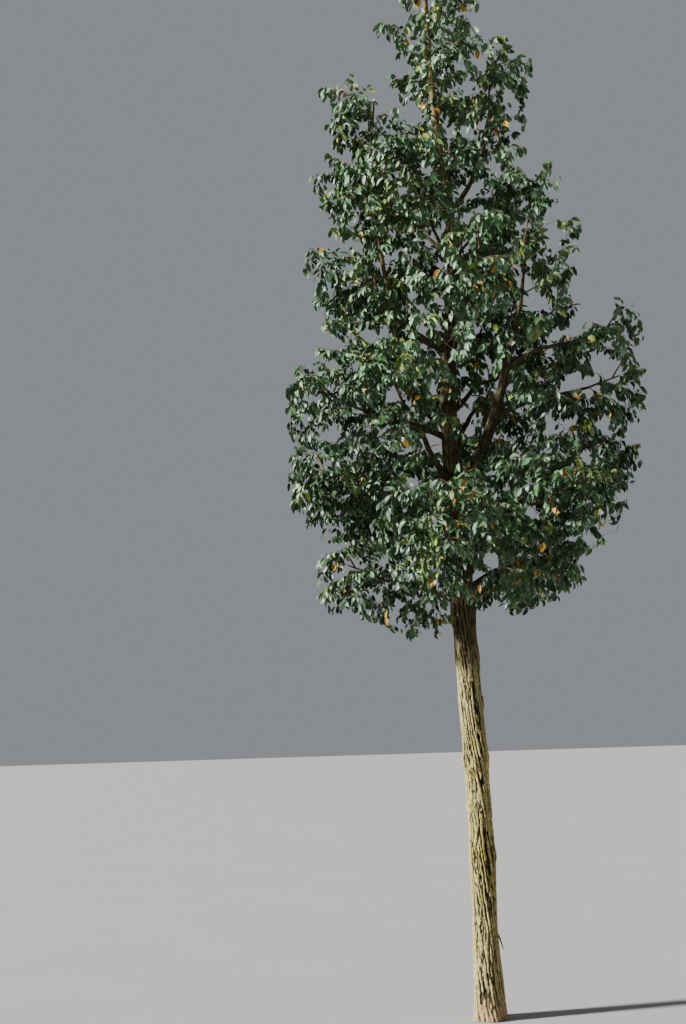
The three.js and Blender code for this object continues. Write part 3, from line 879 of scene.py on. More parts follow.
    def spray(self, place: Array, out: Array, length: float) -> None:
        """Grows one spray: a shoot with shorter ones by turns on both sides, all with leaves.

        Args:
            place: Where it starts.
            out: Its direction.
            length: Its length.
        """
        growth = self.growth
        droop = between(HABIT.droops, height_share(place)) * self.random.within(*self.DROOP_SHARES)
        points = self.kept_part(self.shoot(place, out, length, droop, HABIT.steps))
        steps = len(points) - 1
        if steps < HABIT.fewest_steps:
            return
        length *= steps / HABIT.steps
        flat = unit(np.cross(out, UP + self.random.vector() * self.FLAT_STRAY))
        tints = self.spray_tints(place)
        reach = np.linspace(*HABIT.thickness, len(points)) / 2 * min(1.0, self.SHORT_SPRAY + length)
        growth.twigs.append((points, reach))
        growth.middles += [points[len(points) // 2], points[-1]]
        self.wood.append(points)
        self.leaves_on(points, flat, tints)
        count = int(length / HABIT.side_spacing)
        for i in range(1, count):
            share = i / count
            side_length = HABIT.side_share * length * (1 - self.SIDE_SHORTENING * share)
            side_length *= self.random.within(*self.SIDE_SHARES)
            if side_length < HABIT.side_shortest:
                continue
            index = min(int(share * steps), steps - 1)
            start = points[index] + (points[index + 1] - points[index]) * (share * steps - index)
            tangent = unit(points[index + 1] - points[index])
            angle = HABIT.side_angle * self.random.within(*self.ANGLES)
            side = flat if i % 2 else -flat
            side_out = tangent * math.cos(angle) + side * math.sin(angle)
            side_out = unit(side_out + self.random.vector() * self.SIDE_STRAY)
            side_points = self.kept_part(self.shoot(start, side_out, side_length, droop, HABIT.side_steps))
            if len(side_points) <= HABIT.side_steps / 2:
                continue
            growth.shoots.append((side_points, np.linspace(*HABIT.side_thickness, len(side_points)) / 2))
            side_flat = unit(np.cross(side_out, np.cross(flat, tangent)))
            self.leaves_on(side_points, side_flat, tints)

    def place_spray(self, place: Array, axis: Array, at_end: bool) -> None:
        """Grows a spray from a place, in the freest of several directions.

        Args:
            place: Where it starts.
            axis: The direction of what bears it.
            at_end: Whether it goes on from a tip.
        """
        best, best_score = None, 0.0
        middles = np.array(self.growth.middles[-self.NEAR_SPRAYS:]) if self.growth.middles else None
        slimness = min(1.0, self.SLIM_SHARE + self.BREADTH_SHARE * self.space.half_breadth * 2)
        full = HABIT.length * self.random.within(*self.SPRAY_SHARES) * slimness
        for _ in range(HABIT.tries):
            spread = HABIT.end_spread if at_end else between(HABIT.spreads, math.sqrt(self.random()))
            out = leaning(axis, spread, 2 * math.pi * self.random())
            length = self.free_length(place, out, full)
            if length < HABIT.shortest:
                continue
            middle = place + out * length * self.MIDDLE
            apart = self.FAR_APART
            if middles is not None:
                apart = min(apart, float(np.linalg.norm(middles - middle, axis=1).min()))
            score = length + self.APART_WEIGHT * apart
            if score > best_score:
                best, best_score = (out, length), score
        if best:
            self.spray(place, *best)

    def fill_hollows(self) -> None:
        """Grows short sprays from the nearest wood into what is still empty of the space."""
        across = unit(np.cross(self.space.axis, RIGHT if abs(self.space.axis[0]) < NEAR_UPRIGHT else UP))
        other = np.cross(self.space.axis, across)
        size = self.space.half_reach * self.space.half_breadth**2
        for _ in range(int(HABIT.hollow_density * size)):
            offset = self.random.vector()
            target = self.space.centre + self.space.axis * offset[0] * self.space.half_reach
            target = target + (across * offset[1] + other * offset[2]) * self.space.half_breadth
            if not self.space.holds(target[None])[0] or self.limbs.gap(target[None])[0] < self.HOLLOW_GAP:
                continue
            wood = np.vstack(self.wood)
            ways = np.linalg.norm(wood - target, axis=1)
            nearest = wood[int(ways.argmin())]
            others = np.array(self.growth.middles[-self.NEAR_HOLLOW:])
            hollow = between(HABIT.hollows, height_share(target))
            if min(ways.min(), np.linalg.norm(others - target, axis=1).min()) < hollow:
                continue
            out = unit(target - nearest)
            length = self.free_length(nearest, out, float(ways.min()) * self.PAST_TARGET)
            if length > HABIT.shortest:
                self.spray(nearest, out, length)

    def grow(self, growth: Growth, limbs: LimbField, owner: int) -> None:
        """Grows the whole mass.

        Args:
            growth: What it is added to.
            limbs: What it keeps clear of.
            owner: The number of this mass.
        """
        self.growth = growth
        self.limbs = limbs
        self.owner = owner
        started = len(growth.twigs)
        twigs = self.side_twigs()
        shares = np.linspace(*self.STEM_SHARES, self.PROBES)
        stem_points = np.array([self.stem.at(share)[0] for share in shares])
        self.wood = [stem_points, *twigs]
        for points in twigs:
            first = len(growth.twigs)
            for share in TWIG_SPRAYS:
                index = round(share * (len(points) - 1))
                axis = unit(points[index] - points[index - 1])
                self.place_spray(points[index], axis, share == 1)
            end = end_of_use(points, [spray[0] for spray, _ in growth.twigs[first:]])
            if end > 1:
                growth.twigs.append((points[:end], np.linspace(*self.TWIG_THICKNESS, len(points))[:end]))
        for share in STEM_SPRAYS:
            place, axis = self.stem.at(share)
            self.place_spray(place, axis, share == 1)
        self.fill_hollows()
        self.feet = [points[0] for points, _ in growth.twigs[started:]]


class CrownPlan:
    """Every limb of the tree and every mass of foliage, placed as in the solid model."""

    def __init__(self) -> None:
        """Places the limbs, then the masses at their tips and on the trunk."""
        self.trunk = TrunkLine()
        self.plans = [*BOUGHS, *self.back_boughs()]
        self.limbs: dict[str, Limb] = {}
        for plan in self.plans:
            self.limbs[plan.name] = self.limb(plan, LIMB_STEP)
        self.masses = [*self.masses_at_tips(), *self.masses_on_trunk()]
        for i, mass in enumerate(self.masses):
            for other in self.masses[i + 1:]:
                mass.space.part(other.space)
        heights = np.arange(CLEAR_STEM, TREE_HEIGHT, LIMB_STEP)
        trunk = (self.trunk.centre(heights), self.trunk.radius(heights))
        self.field = LimbField([trunk, *((limb.points, limb.radii) for limb in self.limbs.values())])

    def limb(self, plan: BoughPlan, step: float) -> Limb:
        """A bough's limb, starting on its carrier's axis.

        Args:
            plan: The bough's sizes.
            step: The longest way between its stations.

        Returns:
            The limb.
        """
        if isinstance(plan.foot, tuple):
            carrier, share = plan.foot
            foot = self.limbs[carrier].at(share)[0]
        else:
            foot = self.trunk.centre(np.array((plan.foot,)))[0]
        sizes = (plan.heading, plan.rise, plan.tip_rise, plan.length, plan.diameters)
        return Limb(foot, *sizes, step, plan.collar)

    def back_boughs(self) -> list[BoughPlan]:
        """The boughs of the back by their rule.

        Returns:
            Their sizes and places, from the lowest up.
        """
        rows = []
        outline = np.array(CROWN_OUTLINE)
        for i in range(BACK_BOUGHS):
            share = i / (BACK_BOUGHS - 1)
            height = BACK_LOWEST + i * BACK_STEP
            heading = BACK_ARC_START + BACK_ARC_SWEEP * ((i * GOLDEN_SHARE + BACK_ARC_PHASE) % 1)
            length = between(BACK_LENGTHS, share)
            run = length * math.cos(math.radians(sum(BACK_RISES) / 2))
            rise = between(BACK_FOLIAGE_RISES, share)
            radius = float(np.interp(height + length, outline[:, 0], outline[:, 1]))
            foliage = FoliagePlan(
                heading, rise, (radius - run) / math.cos(math.radians(rise)), between(BACK_BREADTHS, share))
            diameters = (between(BACK_FOOT_DIAMETERS, share), between(BACK_TIP_DIAMETERS, share))
            rows.append(BoughPlan(f"back_{i + 1}", height, heading, *BACK_RISES, length, diameters, foliage))
        return rows

    def masses_at_tips(self) -> list[FoliageMass]:
        """The masses that the boughs bear at their tips.

        Returns:
            One mass a bough that bears one.
        """
        masses = []
        for i, plan in enumerate(plan for plan in self.plans if plan.foliage):
            limb = self.limbs[plan.name]
            root = limb.points[-1] - limb.tip_tangent * limb.radii[-1]
            stem = STEM_SHARE_OF_BOUGH * 2 * limb.radii[-1]
            masses.append(FoliageMass(f"foliage_{plan.name}", plan.name, root, plan.foliage, stem, i + 1))
        return masses

    def masses_on_trunk(self) -> list[FoliageMass]:
        """The masses that the trunk bears by the golden angle.

        Returns:
            The masses from the lowest up.
        """
        masses = []
        for i in range(SPIRE_MASSES):
            share = i / (SPIRE_MASSES - 1)
            root = self.trunk.centre(np.array((between(SPIRE_HEIGHTS, share),)))[0]
            heading = SPIRE_FIRST_HEADING - math.degrees(i * GOLDEN_ANGLE)
            plan = FoliagePlan(heading, between(SPIRE_RISES, share), between(SPIRE_REACHES, share),
                               between(SPIRE_BREADTHS, share))
            stem = between(SPIRE_STEM_DIAMETERS, share)
            masses.append(FoliageMass(f"foliage_spire_{i + 1}", "", root, plan, stem, SPIRE_FIRST_SEED + i))
        return masses

    def grow(self) -> Growth:
        """Grows every mass.

        Returns:
            All the thin wood and the leaves.
        """
        growth = Growth()
        for owner, mass in enumerate(self.masses):
            mass.grow(growth, self.field, owner)
        return growth


class Wiring:
    """Short calls that add nodes to one tree and join their sockets."""

    def __init__(self, tree: bpy.types.NodeTree) -> None:
        """Takes the tree that is to be wired."""
        self.tree = tree

    def feed(self, socket: bpy.types.NodeSocket, value: object) -> None:
        """Links a socket to another one, or sets its own value.

        Args:
            socket: The socket that takes it.
            value: Another node's output, or a plain value.
        """
        if isinstance(value, bpy.types.NodeSocket):
            self.tree.links.new(value, socket)
        else:
            socket.default_value = value

    def add(self, kind: str, inputs: dict[str | int, object] | None = None,
            **settings: object) -> bpy.types.Node:
        """Adds a node.

        Args:
            kind: The node's type.
            inputs: What its sockets take, by name or number.
            settings: The node's own options.

        Returns:
            The node.
        """
        node = self.tree.nodes.new(kind)
        for name, value in settings.items():
            setattr(node, name, value)
        for name, value in (inputs or {}).items():
            self.feed(node.inputs[name], value)
        return node

    def math(self, operation: str, first: object, second: object = 0.0) -> bpy.types.NodeSocket:
        """What one or two numbers make, kept as one socket."""
        return self.add("ShaderNodeMath", {0: first, 1: second}, operation=operation).outputs[0]

    def times(self, first: object, second: object) -> bpy.types.NodeSocket:
        """The product of two numbers."""
        return self.math("MULTIPLY", first, second)

    def less(self, first: object, second: object) -> bpy.types.NodeSocket:
        """The difference of two numbers."""
        return self.math("SUBTRACT", first, second)

    def vector(self, operation: str, first: object, second: object) -> bpy.types.NodeSocket:
        """What two vectors make, kept as one socket."""
        return self.add("ShaderNodeVectorMath", {0: first, 1: second}, operation=operation).outputs[0]

    def scaled(self, vector: object, scale: object) -> bpy.types.NodeSocket:
        """A vector made longer or shorter."""
        return self.add("ShaderNodeVectorMath", {0: vector, "Scale": scale}, operation="SCALE").outputs[0]

    def group(self, tree: bpy.types.NodeTree, values: dict[str, object]) -> bpy.types.Node:
        """Places a shader group with its own values."""
        return self.add("ShaderNodeGroup", values, node_tree=tree)

    def remap(self, value: object, low: float, high: float, to_low: float = 0.0,
              to_high: float = 1.0) -> bpy.types.NodeSocket:
        """A number carried smoothly from one range to another."""
        inputs = {"Value": value, "From Min": low, "From Max": high, "To Min": to_low, "To Max": to_high}
        return self.add("ShaderNodeMapRange", inputs, interpolation_type="SMOOTHSTEP").outputs[0]

    def mix(self, share: object, low: object, high: object) -> bpy.types.NodeSocket:
        """A colour between two."""
        return self.add("ShaderNodeMix", {0: share, 6: low, 7: high}, data_type="RGBA").outputs[2]

    def noise(self, place: object, scale: float, detail: float, output: str = "Fac") -> bpy.types.NodeSocket:
        """Soft noise at a place."""
        inputs = {"Vector": place, "Scale": scale, "Detail": detail}
        return self.add("ShaderNodeTexNoise", inputs).outputs[output]

    def swayed(self, place: object, scale: float, detail: float, reach: object) -> bpy.types.NodeSocket:
        """A place pushed aside by noise."""
        push = self.vector("SUBTRACT", self.noise(place, scale, detail, "Color"), (0.5, 0.5, 0.5))
        return self.vector("ADD", place, self.scaled(push, reach))

    def squeezed(self, place: object, share: float) -> bpy.types.NodeSocket:
        """A place whose height counts for less, so that a pattern on it runs up and down."""
        return self.vector("MULTIPLY", place, (1.0, 1.0, share))

    def finish(self, shader: bpy.types.Node, color: object, strength: float, distance: float,
               height: object) -> None:
        """Feeds a shader its colour and the fine relief of its surface.

        Args:
            shader: The shader.
            color: Its base colour.
            strength: How strong the relief is.
            distance: How high it stands.
            height: Its height, from 0 to 1.
        """
        self.feed(shader.inputs["Base Color"], color)
        bump = self.add("ShaderNodeBump", {"Strength": strength, "Distance": distance, "Height": height})
        self.feed(shader.inputs["Normal"], bump.outputs[0])

    def object_place(self) -> bpy.types.NodeSocket:
        """The place on the object."""
        return self.add("ShaderNodeTexCoord").outputs["Object"]

    def attribute(self, name: str, kind: str = "FLOAT") -> bpy.types.NodeSocket:
        """A named value of the mesh, for geometry nodes."""
        node = self.add("GeometryNodeInputNamedAttribute", {"Name": name}, data_type=kind)
        return node.outputs[0]


TreeParts = tuple[bpy.types.NodeTree, Wiring, dict[str, bpy.types.NodeSocket], bpy.types.Node]


def new_tree(name: str, kind: str, inputs: dict[str, tuple[str, object]],
             outputs: dict[str, str]) -> TreeParts:
    """A node tree or shader group with named inputs and outputs.

    Args:
        name: The tree's name.
        kind: Its type.
        inputs: Each input's socket type and default value.
        outputs: Each output's socket type.

    Returns:
        The tree, its wiring, its inputs by name and its output node.
    """
    tree = bpy.data.node_groups.new(name, kind)
    for label, (socket_type, default) in inputs.items():
        socket = tree.interface.new_socket(name=label, in_out="INPUT", socket_type=socket_type)
        if default is not None:
            socket.default_value = default
    for label, socket_type in outputs.items():
        tree.interface.new_socket(name=label, in_out="OUTPUT", socket_type=socket_type)
    wiring = Wiring(tree)
    entry = wiring.add("NodeGroupInput")
    given = {socket.name: socket for socket in entry.outputs if socket.name}
    return tree, wiring, given, wiring.add("NodeGroupOutput")


# Furrows: sets by share of the lines, place of the noise and depth; sways by scale, squeeze and strength

FURROW_SETS = ((1.0, 3.0, 0.88), (0.62, 7.0, 0.72))
FURROW_SWAYS = ((14.0, 0.20, 9.0), (44.0, 0.40, 3.4))
FURROW_EDGES = (0.10, 0.76)
FURROW_BREAKS = (0.32, 0.46)
BREAK_SQUEEZE = 0.28
BREAK_SCALE = 24.0


def furrowed(wiring: Wiring, place: object, lines: object) -> bpy.types.NodeSocket:
    """The height of bark between two sets of long furrows that waver, cross and break off.

    Args:
        wiring: The tree that it is wired in, of geometry or of a shader.
        place: The place on the bark.
        lines: How many furrows the first set has all round.

    Returns:
        The height, 1 on the plates and less in a furrow.
    """
    parts = wiring.add("ShaderNodeSeparateXYZ", {0: place}).outputs
    turn = wiring.math("ARCTAN2", parts["Y"], parts["X"])
    height = 1.0
    for share, apart, cut in FURROW_SETS:
        moved = wiring.vector("ADD", place, (apart, apart, apart))
        count = wiring.math("ROUND", wiring.times(lines, share))
        phase = wiring.times(wiring.times(turn, count), 0.5)
        for scale, squeeze, sway in FURROW_SWAYS:
            noise = wiring.noise(wiring.squeezed(moved, squeeze), scale, 1.5)
            phase = wiring.math("ADD", phase, wiring.times(noise, sway))
        trough = wiring.remap(wiring.math("ABSOLUTE", wiring.math("SINE", phase)), *FURROW_EDGES, cut, 0.0)
        broken = wiring.noise(wiring.squeezed(moved, BREAK_SQUEEZE), BREAK_SCALE, 1.0)
        depth = wiring.times(trough, wiring.remap(broken, *FURROW_BREAKS))
        height = wiring.times(height, wiring.less(1.0, depth))
    return height


class NodeRules:
    """The geometry node trees: bark relief, twigs along paths, and leaves on points."""

    FLAKE_SQUEEZE = 0.30
    FLAKE_SCALE = 96.0

    def rule(self, name: str, sizes: dict[str, tuple[str, object]]) -> TreeParts:
        """A tree that takes a geometry, sizes and a material, and gives a geometry."""
        inputs = {"Geometry": ("NodeSocketGeometry", None), **sizes, "Material": ("NodeSocketMaterial", None)}
        return new_tree(name, "GeometryNodeTree", inputs, {"Geometry": "NodeSocketGeometry"})

    def finish_tree(self, wiring: Wiring, geometry: object, given: dict, end: bpy.types.Node) -> None:
        """Ends a tree: instances made real, smooth faces and the material.

        Args:
            wiring: The tree's wiring.
            geometry: What the tree has made.
            given: The tree's inputs.
            end: The output node.
        """
        real = wiring.add("GeometryNodeRealizeInstances", {"Geometry": geometry}).outputs[0]
        smooth = wiring.add("GeometryNodeSetShadeSmooth", {"Geometry": real}).outputs[0]
        inputs = {"Geometry": smooth, "Material": given["Material"]}
        wiring.feed(end.inputs[0], wiring.add("GeometryNodeSetMaterial", inputs).outputs[0])

    def bark_relief(self) -> bpy.types.NodeTree:
        """Furrows and flakes that stand on a skin.

        Returns:
            The tree.
        """
        tree, wiring, given, end = self.rule("bark relief", {
            "Lines": ("NodeSocketInt", 20),
            "Depth": ("NodeSocketFloat", 0.009),
            "Grain": ("NodeSocketFloat", 0.0015),
            "Warp": ("NodeSocketFloat", 0.03),
        })
        place = wiring.attribute("bark_place", "FLOAT_VECTOR")
        swayed = wiring.swayed(place, 11.0, 2.0, given["Warp"])
        squeezed = wiring.squeezed(swayed, self.FLAKE_SQUEEZE)
        flakes = wiring.add("ShaderNodeTexVoronoi", {"Vector": squeezed, "Scale": self.FLAKE_SCALE},
                            feature="DISTANCE_TO_EDGE")
        flake = wiring.remap(flakes.outputs["Distance"], 0.0, 0.10, 0.84, 1.0)
        height = wiring.times(furrowed(wiring, place, given["Lines"]), flake)
        grain = wiring.less(wiring.noise(swayed, 170.0, 4.0), 0.5)
        lift = wiring.math("ADD", wiring.times(wiring.less(height, 0.8), given["Depth"]),
                           wiring.times(grain, given["Grain"]))
        lift = wiring.times(lift, wiring.attribute("relief"))
        offset = wiring.scaled(wiring.add("GeometryNodeInputNormal").outputs["Normal"], lift)
        moved = wiring.add("GeometryNodeSetPosition", {"Geometry": given["Geometry"], "Offset": offset})
        self.finish_tree(wiring, moved.outputs[0], given, end)
        return tree

    def twig_tubes(self) -> bpy.types.NodeTree:
        """Round tapering twigs along the edges of a mesh.

        Returns:
            The tree.
        """
        tree, wiring, given, end = self.rule("twig tubes", {"Sides": ("NodeSocketInt", 4)})
        path = wiring.add("GeometryNodeMeshToCurve", {"Mesh": given["Geometry"]}).outputs[0]
        ring = wiring.add("GeometryNodeCurvePrimitiveCircle", {"Resolution": given["Sides"], "Radius": 1.0})
        tubes = wiring.add("GeometryNodeCurveToMesh", {
            "Curve": path, "Profile Curve": ring.outputs[0], "Scale": wiring.attribute("thickness"),
            "Fill Caps": True,
        })
        self.finish_tree(wiring, tubes.outputs[0], given, end)
        return tree

    def leaves_on_points(self) -> bpy.types.NodeTree:
        """A leaf on each point, laid along one direction with its upper face to another.

        Returns:
            The tree.
        """
        tree, wiring, given, end = self.rule("leaves on points", {
            "Leaf Forms": ("NodeSocketCollection", None), "Leaf Scale": ("NodeSocketFloat", 1.0),
        })
        forms = wiring.add("GeometryNodeCollectionInfo", {
            "Collection": given["Leaf Forms"], "Separate Children": True, "Reset Children": True,
        })
        turn = wiring.add("FunctionNodeAxesToRotation", {
            0: wiring.attribute("along", "FLOAT_VECTOR"), 1: wiring.attribute("upper", "FLOAT_VECTOR"),
        }, primary_axis="X", secondary_axis="Z")
        leaves = wiring.add("GeometryNodeInstanceOnPoints", {
            "Points": given["Geometry"], "Instance": forms.outputs[0], "Pick Instance": True,
            "Instance Index": wiring.attribute("form", "INT"), "Rotation": turn.outputs[0],
            "Scale": wiring.times(wiring.attribute("length"), given["Leaf Scale"]),
        })
        self.finish_tree(wiring, leaves.outputs[0], given, end)
        return tree


def mesh_object(name: str, vertices: Array, faces: list | Array,
                edges: list | Array = ()) -> bpy.types.Object:
    """A new object with a mesh, linked to the scene.

    Args:
        name: The object's name.
        vertices: Its points.
        faces: The numbers of each face's points.
        edges: The numbers of each loose edge's points.

    Returns:
        The object.
    """
    mesh = bpy.data.meshes.new(name)
    listed = [rows.tolist() if isinstance(rows, np.ndarray) else rows for rows in (vertices, edges, faces)]
    mesh.from_pydata(*listed)
    made = bpy.data.objects.new(name, mesh)
    bpy.context.scene.collection.objects.link(made)
    return made


def set_values(mesh: bpy.types.Mesh, name: str, kind: str, values: Array) -> None:
    """Keeps a named value, or a vector, for each point of a mesh."""
    attribute = mesh.attributes.new(name, kind, "POINT")
    attribute.data.foreach_set("vector" if kind == "FLOAT_VECTOR" else "value", np.ravel(values))


def by_rule(made: bpy.types.Object, tree: bpy.types.NodeTree, values: dict[str, object]) -> bpy.types.Object:
    """Runs a node tree on an object and keeps the result as its plain mesh.

    Args:
        made: The object.
        tree: The rule.
        values: The rule's inputs by name.

    Returns:
        The same object.
    """
    modifier = made.modifiers.new("rule", "NODES")
    modifier.node_group = tree
    for item in tree.interface.items_tree:
        if item.in_out == "INPUT" and item.name in values:
            modifier[item.identifier] = values[item.name]
    depsgraph = bpy.context.evaluated_depsgraph_get()
    evaluated = made.evaluated_get(depsgraph)
    mesh = bpy.data.meshes.new_from_object(evaluated, preserve_all_data_layers=True, depsgraph=depsgraph)
    made.modifiers.remove(modifier)
    source = made.data
    made.data = mesh
    bpy.data.meshes.remove(source)
    mesh.name = made.name
    return made


def hand_over(made: bpy.types.Object, nodes: list[str]) -> None:
    """Gives a finished piece its body, hides the solids that it stands for, and logs it.

    Args:
        made: The piece.
        nodes: The solids' names.
    """
    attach(made, "root")
    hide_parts(*nodes)
    made.data.calc_loop_triangles()
    LOG.info("%s: %d triangles for %d solids", made.name, len(made.data.loop_triangles), len(nodes))


class Weather:
    """The shader group of soft patches that several finishes share."""

    def __init__(self) -> None:
        """Builds the group once."""
        self.tree, wiring, given, end = new_tree("weather patches", "ShaderNodeTree", {
            "Vector": ("NodeSocketVector", None),
            "Scale": ("NodeSocketFloat", 10.0),
            "Low": ("NodeSocketColor", (0.0, 0.0, 0.0, 1.0)),
            "High": ("NodeSocketColor", (1.0, 1.0, 1.0, 1.0)),
            "Threshold": ("NodeSocketFloat", 0.5),
            "Softness": ("NodeSocketFloat", 0.2),
        }, {"Color": "NodeSocketColor", "Mask": "NodeSocketFloat"})
        noise = wiring.add("ShaderNodeTexNoise", {
            "Vector": given["Vector"], "Scale": given["Scale"], "Detail": 4.0, "Roughness": 0.6,
        }).outputs["Fac"]
        over = wiring.less(noise, wiring.less(given["Threshold"], given["Softness"]))
        span = wiring.times(given["Softness"], 2.0)
        mask = wiring.add("ShaderNodeClamp", {"Value": wiring.math("DIVIDE", over, span)}).outputs[0]
        wiring.feed(end.inputs["Color"], wiring.mix(mask, given["Low"], given["High"]))
        wiring.feed(end.inputs["Mask"], mask)

    def patches(self, wiring: Wiring, place: object, scale: float, low: object, high: object,
                threshold: float = 0.5, softness: float = 0.15) -> bpy.types.Node:
        """Places the group in a material, with the colours outside and inside its patches."""
        return wiring.group(self.tree, {
            "Vector": place, "Scale": scale, "Low": low, "High": high, "Threshold": threshold,
            "Softness": softness,
        })


def new_material(name: str, roughness: float,
                 specular: float) -> tuple[bpy.types.Material, Wiring, bpy.types.Node]:
    """A material with its shader's uniform values set.

    Args:
        name: Its name.
        roughness: How matt it is.
        specular: How strongly it reflects.

    Returns:
        The material, its wiring and its shader.
    """
    material = bpy.data.materials.new(name)
    material.use_nodes = True
    wiring = Wiring(material.node_tree)
    shader = next(node for node in material.node_tree.nodes if node.type == "BSDF_PRINCIPLED")
    shader.inputs["Roughness"].default_value = roughness
    shader.inputs["Specular IOR Level"].default_value = specular
    return material, wiring, shader


def tone(red: int, green: int, blue: int) -> Color:
    """A screen colour as the linear one that a shader takes.

    Args:
        red: From 0 to 255.
        green: From 0 to 255.
        blue: From 0 to 255.

    Returns:
        The linear colour with full cover.
    """
    shares = [level / 255 for level in (red, green, blue)]
    linear = [share / 12.92 if share <= 0.04045 else ((share + 0.055) / 1.055) ** 2.4 for share in shares]
    return (linear[0], linear[1], linear[2], 1.0)


class BarkPlates:
    """The shader group of furrows, and of small plates parted by fine cracks, laid along the limb."""

    WARP = 0.009
    SQUEEZE = 0.22
    FINENESS = 84.0
    CRACK_WIDTH = 0.10

    def __init__(self) -> None:
        """Builds the group once."""
        self.tree, wiring, given, end = new_tree("bark plates", "ShaderNodeTree", {
            "Vector": ("NodeSocketVector", None),
            "Scale": ("NodeSocketFloat", 80.0),
            "Crack": ("NodeSocketFloat", 0.08),
            "Lines": ("NodeSocketFloat", 20.0),
        }, {"Shade": "NodeSocketFloat", "Cracks": "NodeSocketFloat", "Furrows": "NodeSocketFloat"})
        place = wiring.squeezed(wiring.swayed(given["Vector"], 34.0, 3.0, self.WARP), self.SQUEEZE)
        inputs = {"Vector": place, "Scale": given["Scale"]}
        cells = wiring.add("ShaderNodeTexVoronoi", inputs, feature="F1")
        edges = wiring.add("ShaderNodeTexVoronoi", inputs, feature="DISTANCE_TO_EDGE")
        shade = wiring.add("ShaderNodeSeparateColor", {0: cells.outputs["Color"]}).outputs[0]
        wiring.feed(end.inputs["Shade"], shade)
        cracks = wiring.remap(edges.outputs["Distance"], 0.0, given["Crack"], 1.0, 0.0)
        wiring.feed(end.inputs["Cracks"], cracks)
        height = furrowed(wiring, given["Vector"], given["Lines"])
        wiring.feed(end.inputs["Furrows"], wiring.less(1.0, height))

    def plates(self, wiring: Wiring, place: object, lines: float) -> bpy.types.Node:
        """Places the group in a material, with so many furrows all round."""
        values = {"Vector": place, "Scale": self.FINENESS, "Crack": self.CRACK_WIDTH, "Lines": lines}
        return wiring.group(self.tree, values)


@dataclass(frozen=True)
class BarkFinish:
    """Corky bark: light ridges, fissures partly in painted shade, lichen and a painted crown shade each
    between two heights, and smooth young bark.
    """

    name: str
    ridge: Color
    weathered: Color
    # Furrow colour: darker bark in the furrows, partly painted shade in them
    fissure_and_shade: Color
    lichen: Color
    lichen_heights: tuple[float, float]
    lichen_threshold: float
    # Heights and colour of a painted shade of the crown on the bark, partly darker damp bark
    crown_shade_heights: tuple[float, float]
    crown_shade: Color
    young: Color
    earthy: Color
    lines: float
    bump: float

    def band(self, wiring: Wiring, height: object, limits: tuple[float, float], foot: tuple[float, float],
             top: tuple[float, float]) -> bpy.types.NodeSocket:
        """How much a place lies between two heights.

        Args:
            wiring: The material's wiring.
            height: The place's height.
            limits: The two heights.
            foot: How far below and above the lower one the edge fades.
            top: The same at the upper one.

        Returns:
            The share, 1 inside the band.
        """
        rising = wiring.remap(height, limits[0] - foot[0], limits[0] + foot[1])
        return wiring.times(rising, wiring.remap(height, limits[1] - top[0], limits[1] + top[1], 1.0, 0.0))

    def build(self, weather: Weather, plates: BarkPlates) -> bpy.types.Material:
        """Makes the material.

        Args:
            weather: The shared patches.
            plates: The shared plates and cracks.

        Returns:
            The material.
        """
        material, wiring, shader = new_material(self.name, 0.92, 0.25)
        place = wiring.object_place()
        relief = wiring.add("ShaderNodeAttribute", attribute_name="relief").outputs["Fac"]
        along = wiring.add("ShaderNodeAttribute", attribute_name="bark_place").outputs["Vector"]
        split = plates.plates(wiring, along, self.lines)
        furrow = split.outputs["Furrows"]
        rough = wiring.remap(relief, 0.14, 0.55)
        broad = weather.patches(wiring, place, 5.0, self.ridge, self.weathered, 0.52, 0.18)
        fine = weather.patches(wiring, place, 55.0, broad.outputs["Color"], self.ridge, 0.60, 0.12)
        mottled = wiring.mix(wiring.times(split.outputs["Shade"], 0.62), fine.outputs["Color"],
                             self.weathered)
        aged = wiring.mix(rough, self.young, mottled)
        height = wiring.add("ShaderNodeSeparateXYZ", {0: place}).outputs["Z"]
        # Painted crown shade: the bark darkens between two heights under the crown, partly darker damp bark
        painted_crown_shade = wiring.times(self.band(wiring, height, self.crown_shade_heights, (0.2, 0.2), (0.5, 0.5)), 0.85)
        zone = self.band(wiring, height, self.lichen_heights, (0.35, 0.2), (0.2, 0.5))
        spots = weather.patches(wiring, place, 26.0, (0, 0, 0, 1), (1, 1, 1, 1), self.lichen_threshold, 0.05)
        cover = wiring.times(zone, spots.outputs["Mask"])
        cover = wiring.times(cover, wiring.remap(furrow, 0.15, 0.6, 1.0, 0.0))
        low_down = wiring.remap(height, 0.0, 0.20, 0.7, 0.0)
        skin = wiring.mix(low_down, wiring.mix(painted_crown_shade, aged, self.crown_shade), self.earthy)
        skin = wiring.mix(cover, skin, self.lichen)
        # Furrows and cracks take the blackish furrow colour: darker bark there, partly painted shade in the
        # recesses
        cracks = wiring.times(split.outputs["Cracks"], 0.50)
        depth = wiring.math("MAXIMUM", wiring.remap(furrow, 0.10, 0.80), cracks)
        depth = wiring.times(depth, wiring.remap(relief, 0.10, 0.50, 0.30, 1.0))
        depth = wiring.times(depth, wiring.remap(height, 0.0, 0.16, 0.45, 1.0))
        grain = wiring.noise(wiring.squeezed(place, 0.4), 240.0, 5.0)
        grain = wiring.less(grain, wiring.times(split.outputs["Cracks"], rough))
        wiring.finish(shader, wiring.mix(depth, skin, self.fissure_and_shade), self.bump, 0.004, grain)
        return material


@dataclass(frozen=True)
class TwigFinish:
    """Thin young bark, smooth and brown with paler flecks."""

    name: str
    bark: Color
    fleck: Color

    def build(self, weather: Weather) -> bpy.types.Material:
        """Makes the material.

        Args:
            weather: The shared patches.

        Returns:
            The material.
        """
        material, wiring, shader = new_material(self.name, 0.75, 0.35)
        place = wiring.object_place()
        flecks = weather.patches(wiring, place, 60.0, self.bark, self.fleck, 0.55, 0.12)
        wiring.finish(shader, flecks.outputs["Color"], 0.3, 0.001, wiring.noise(place, 400.0, 2.0))
        return material


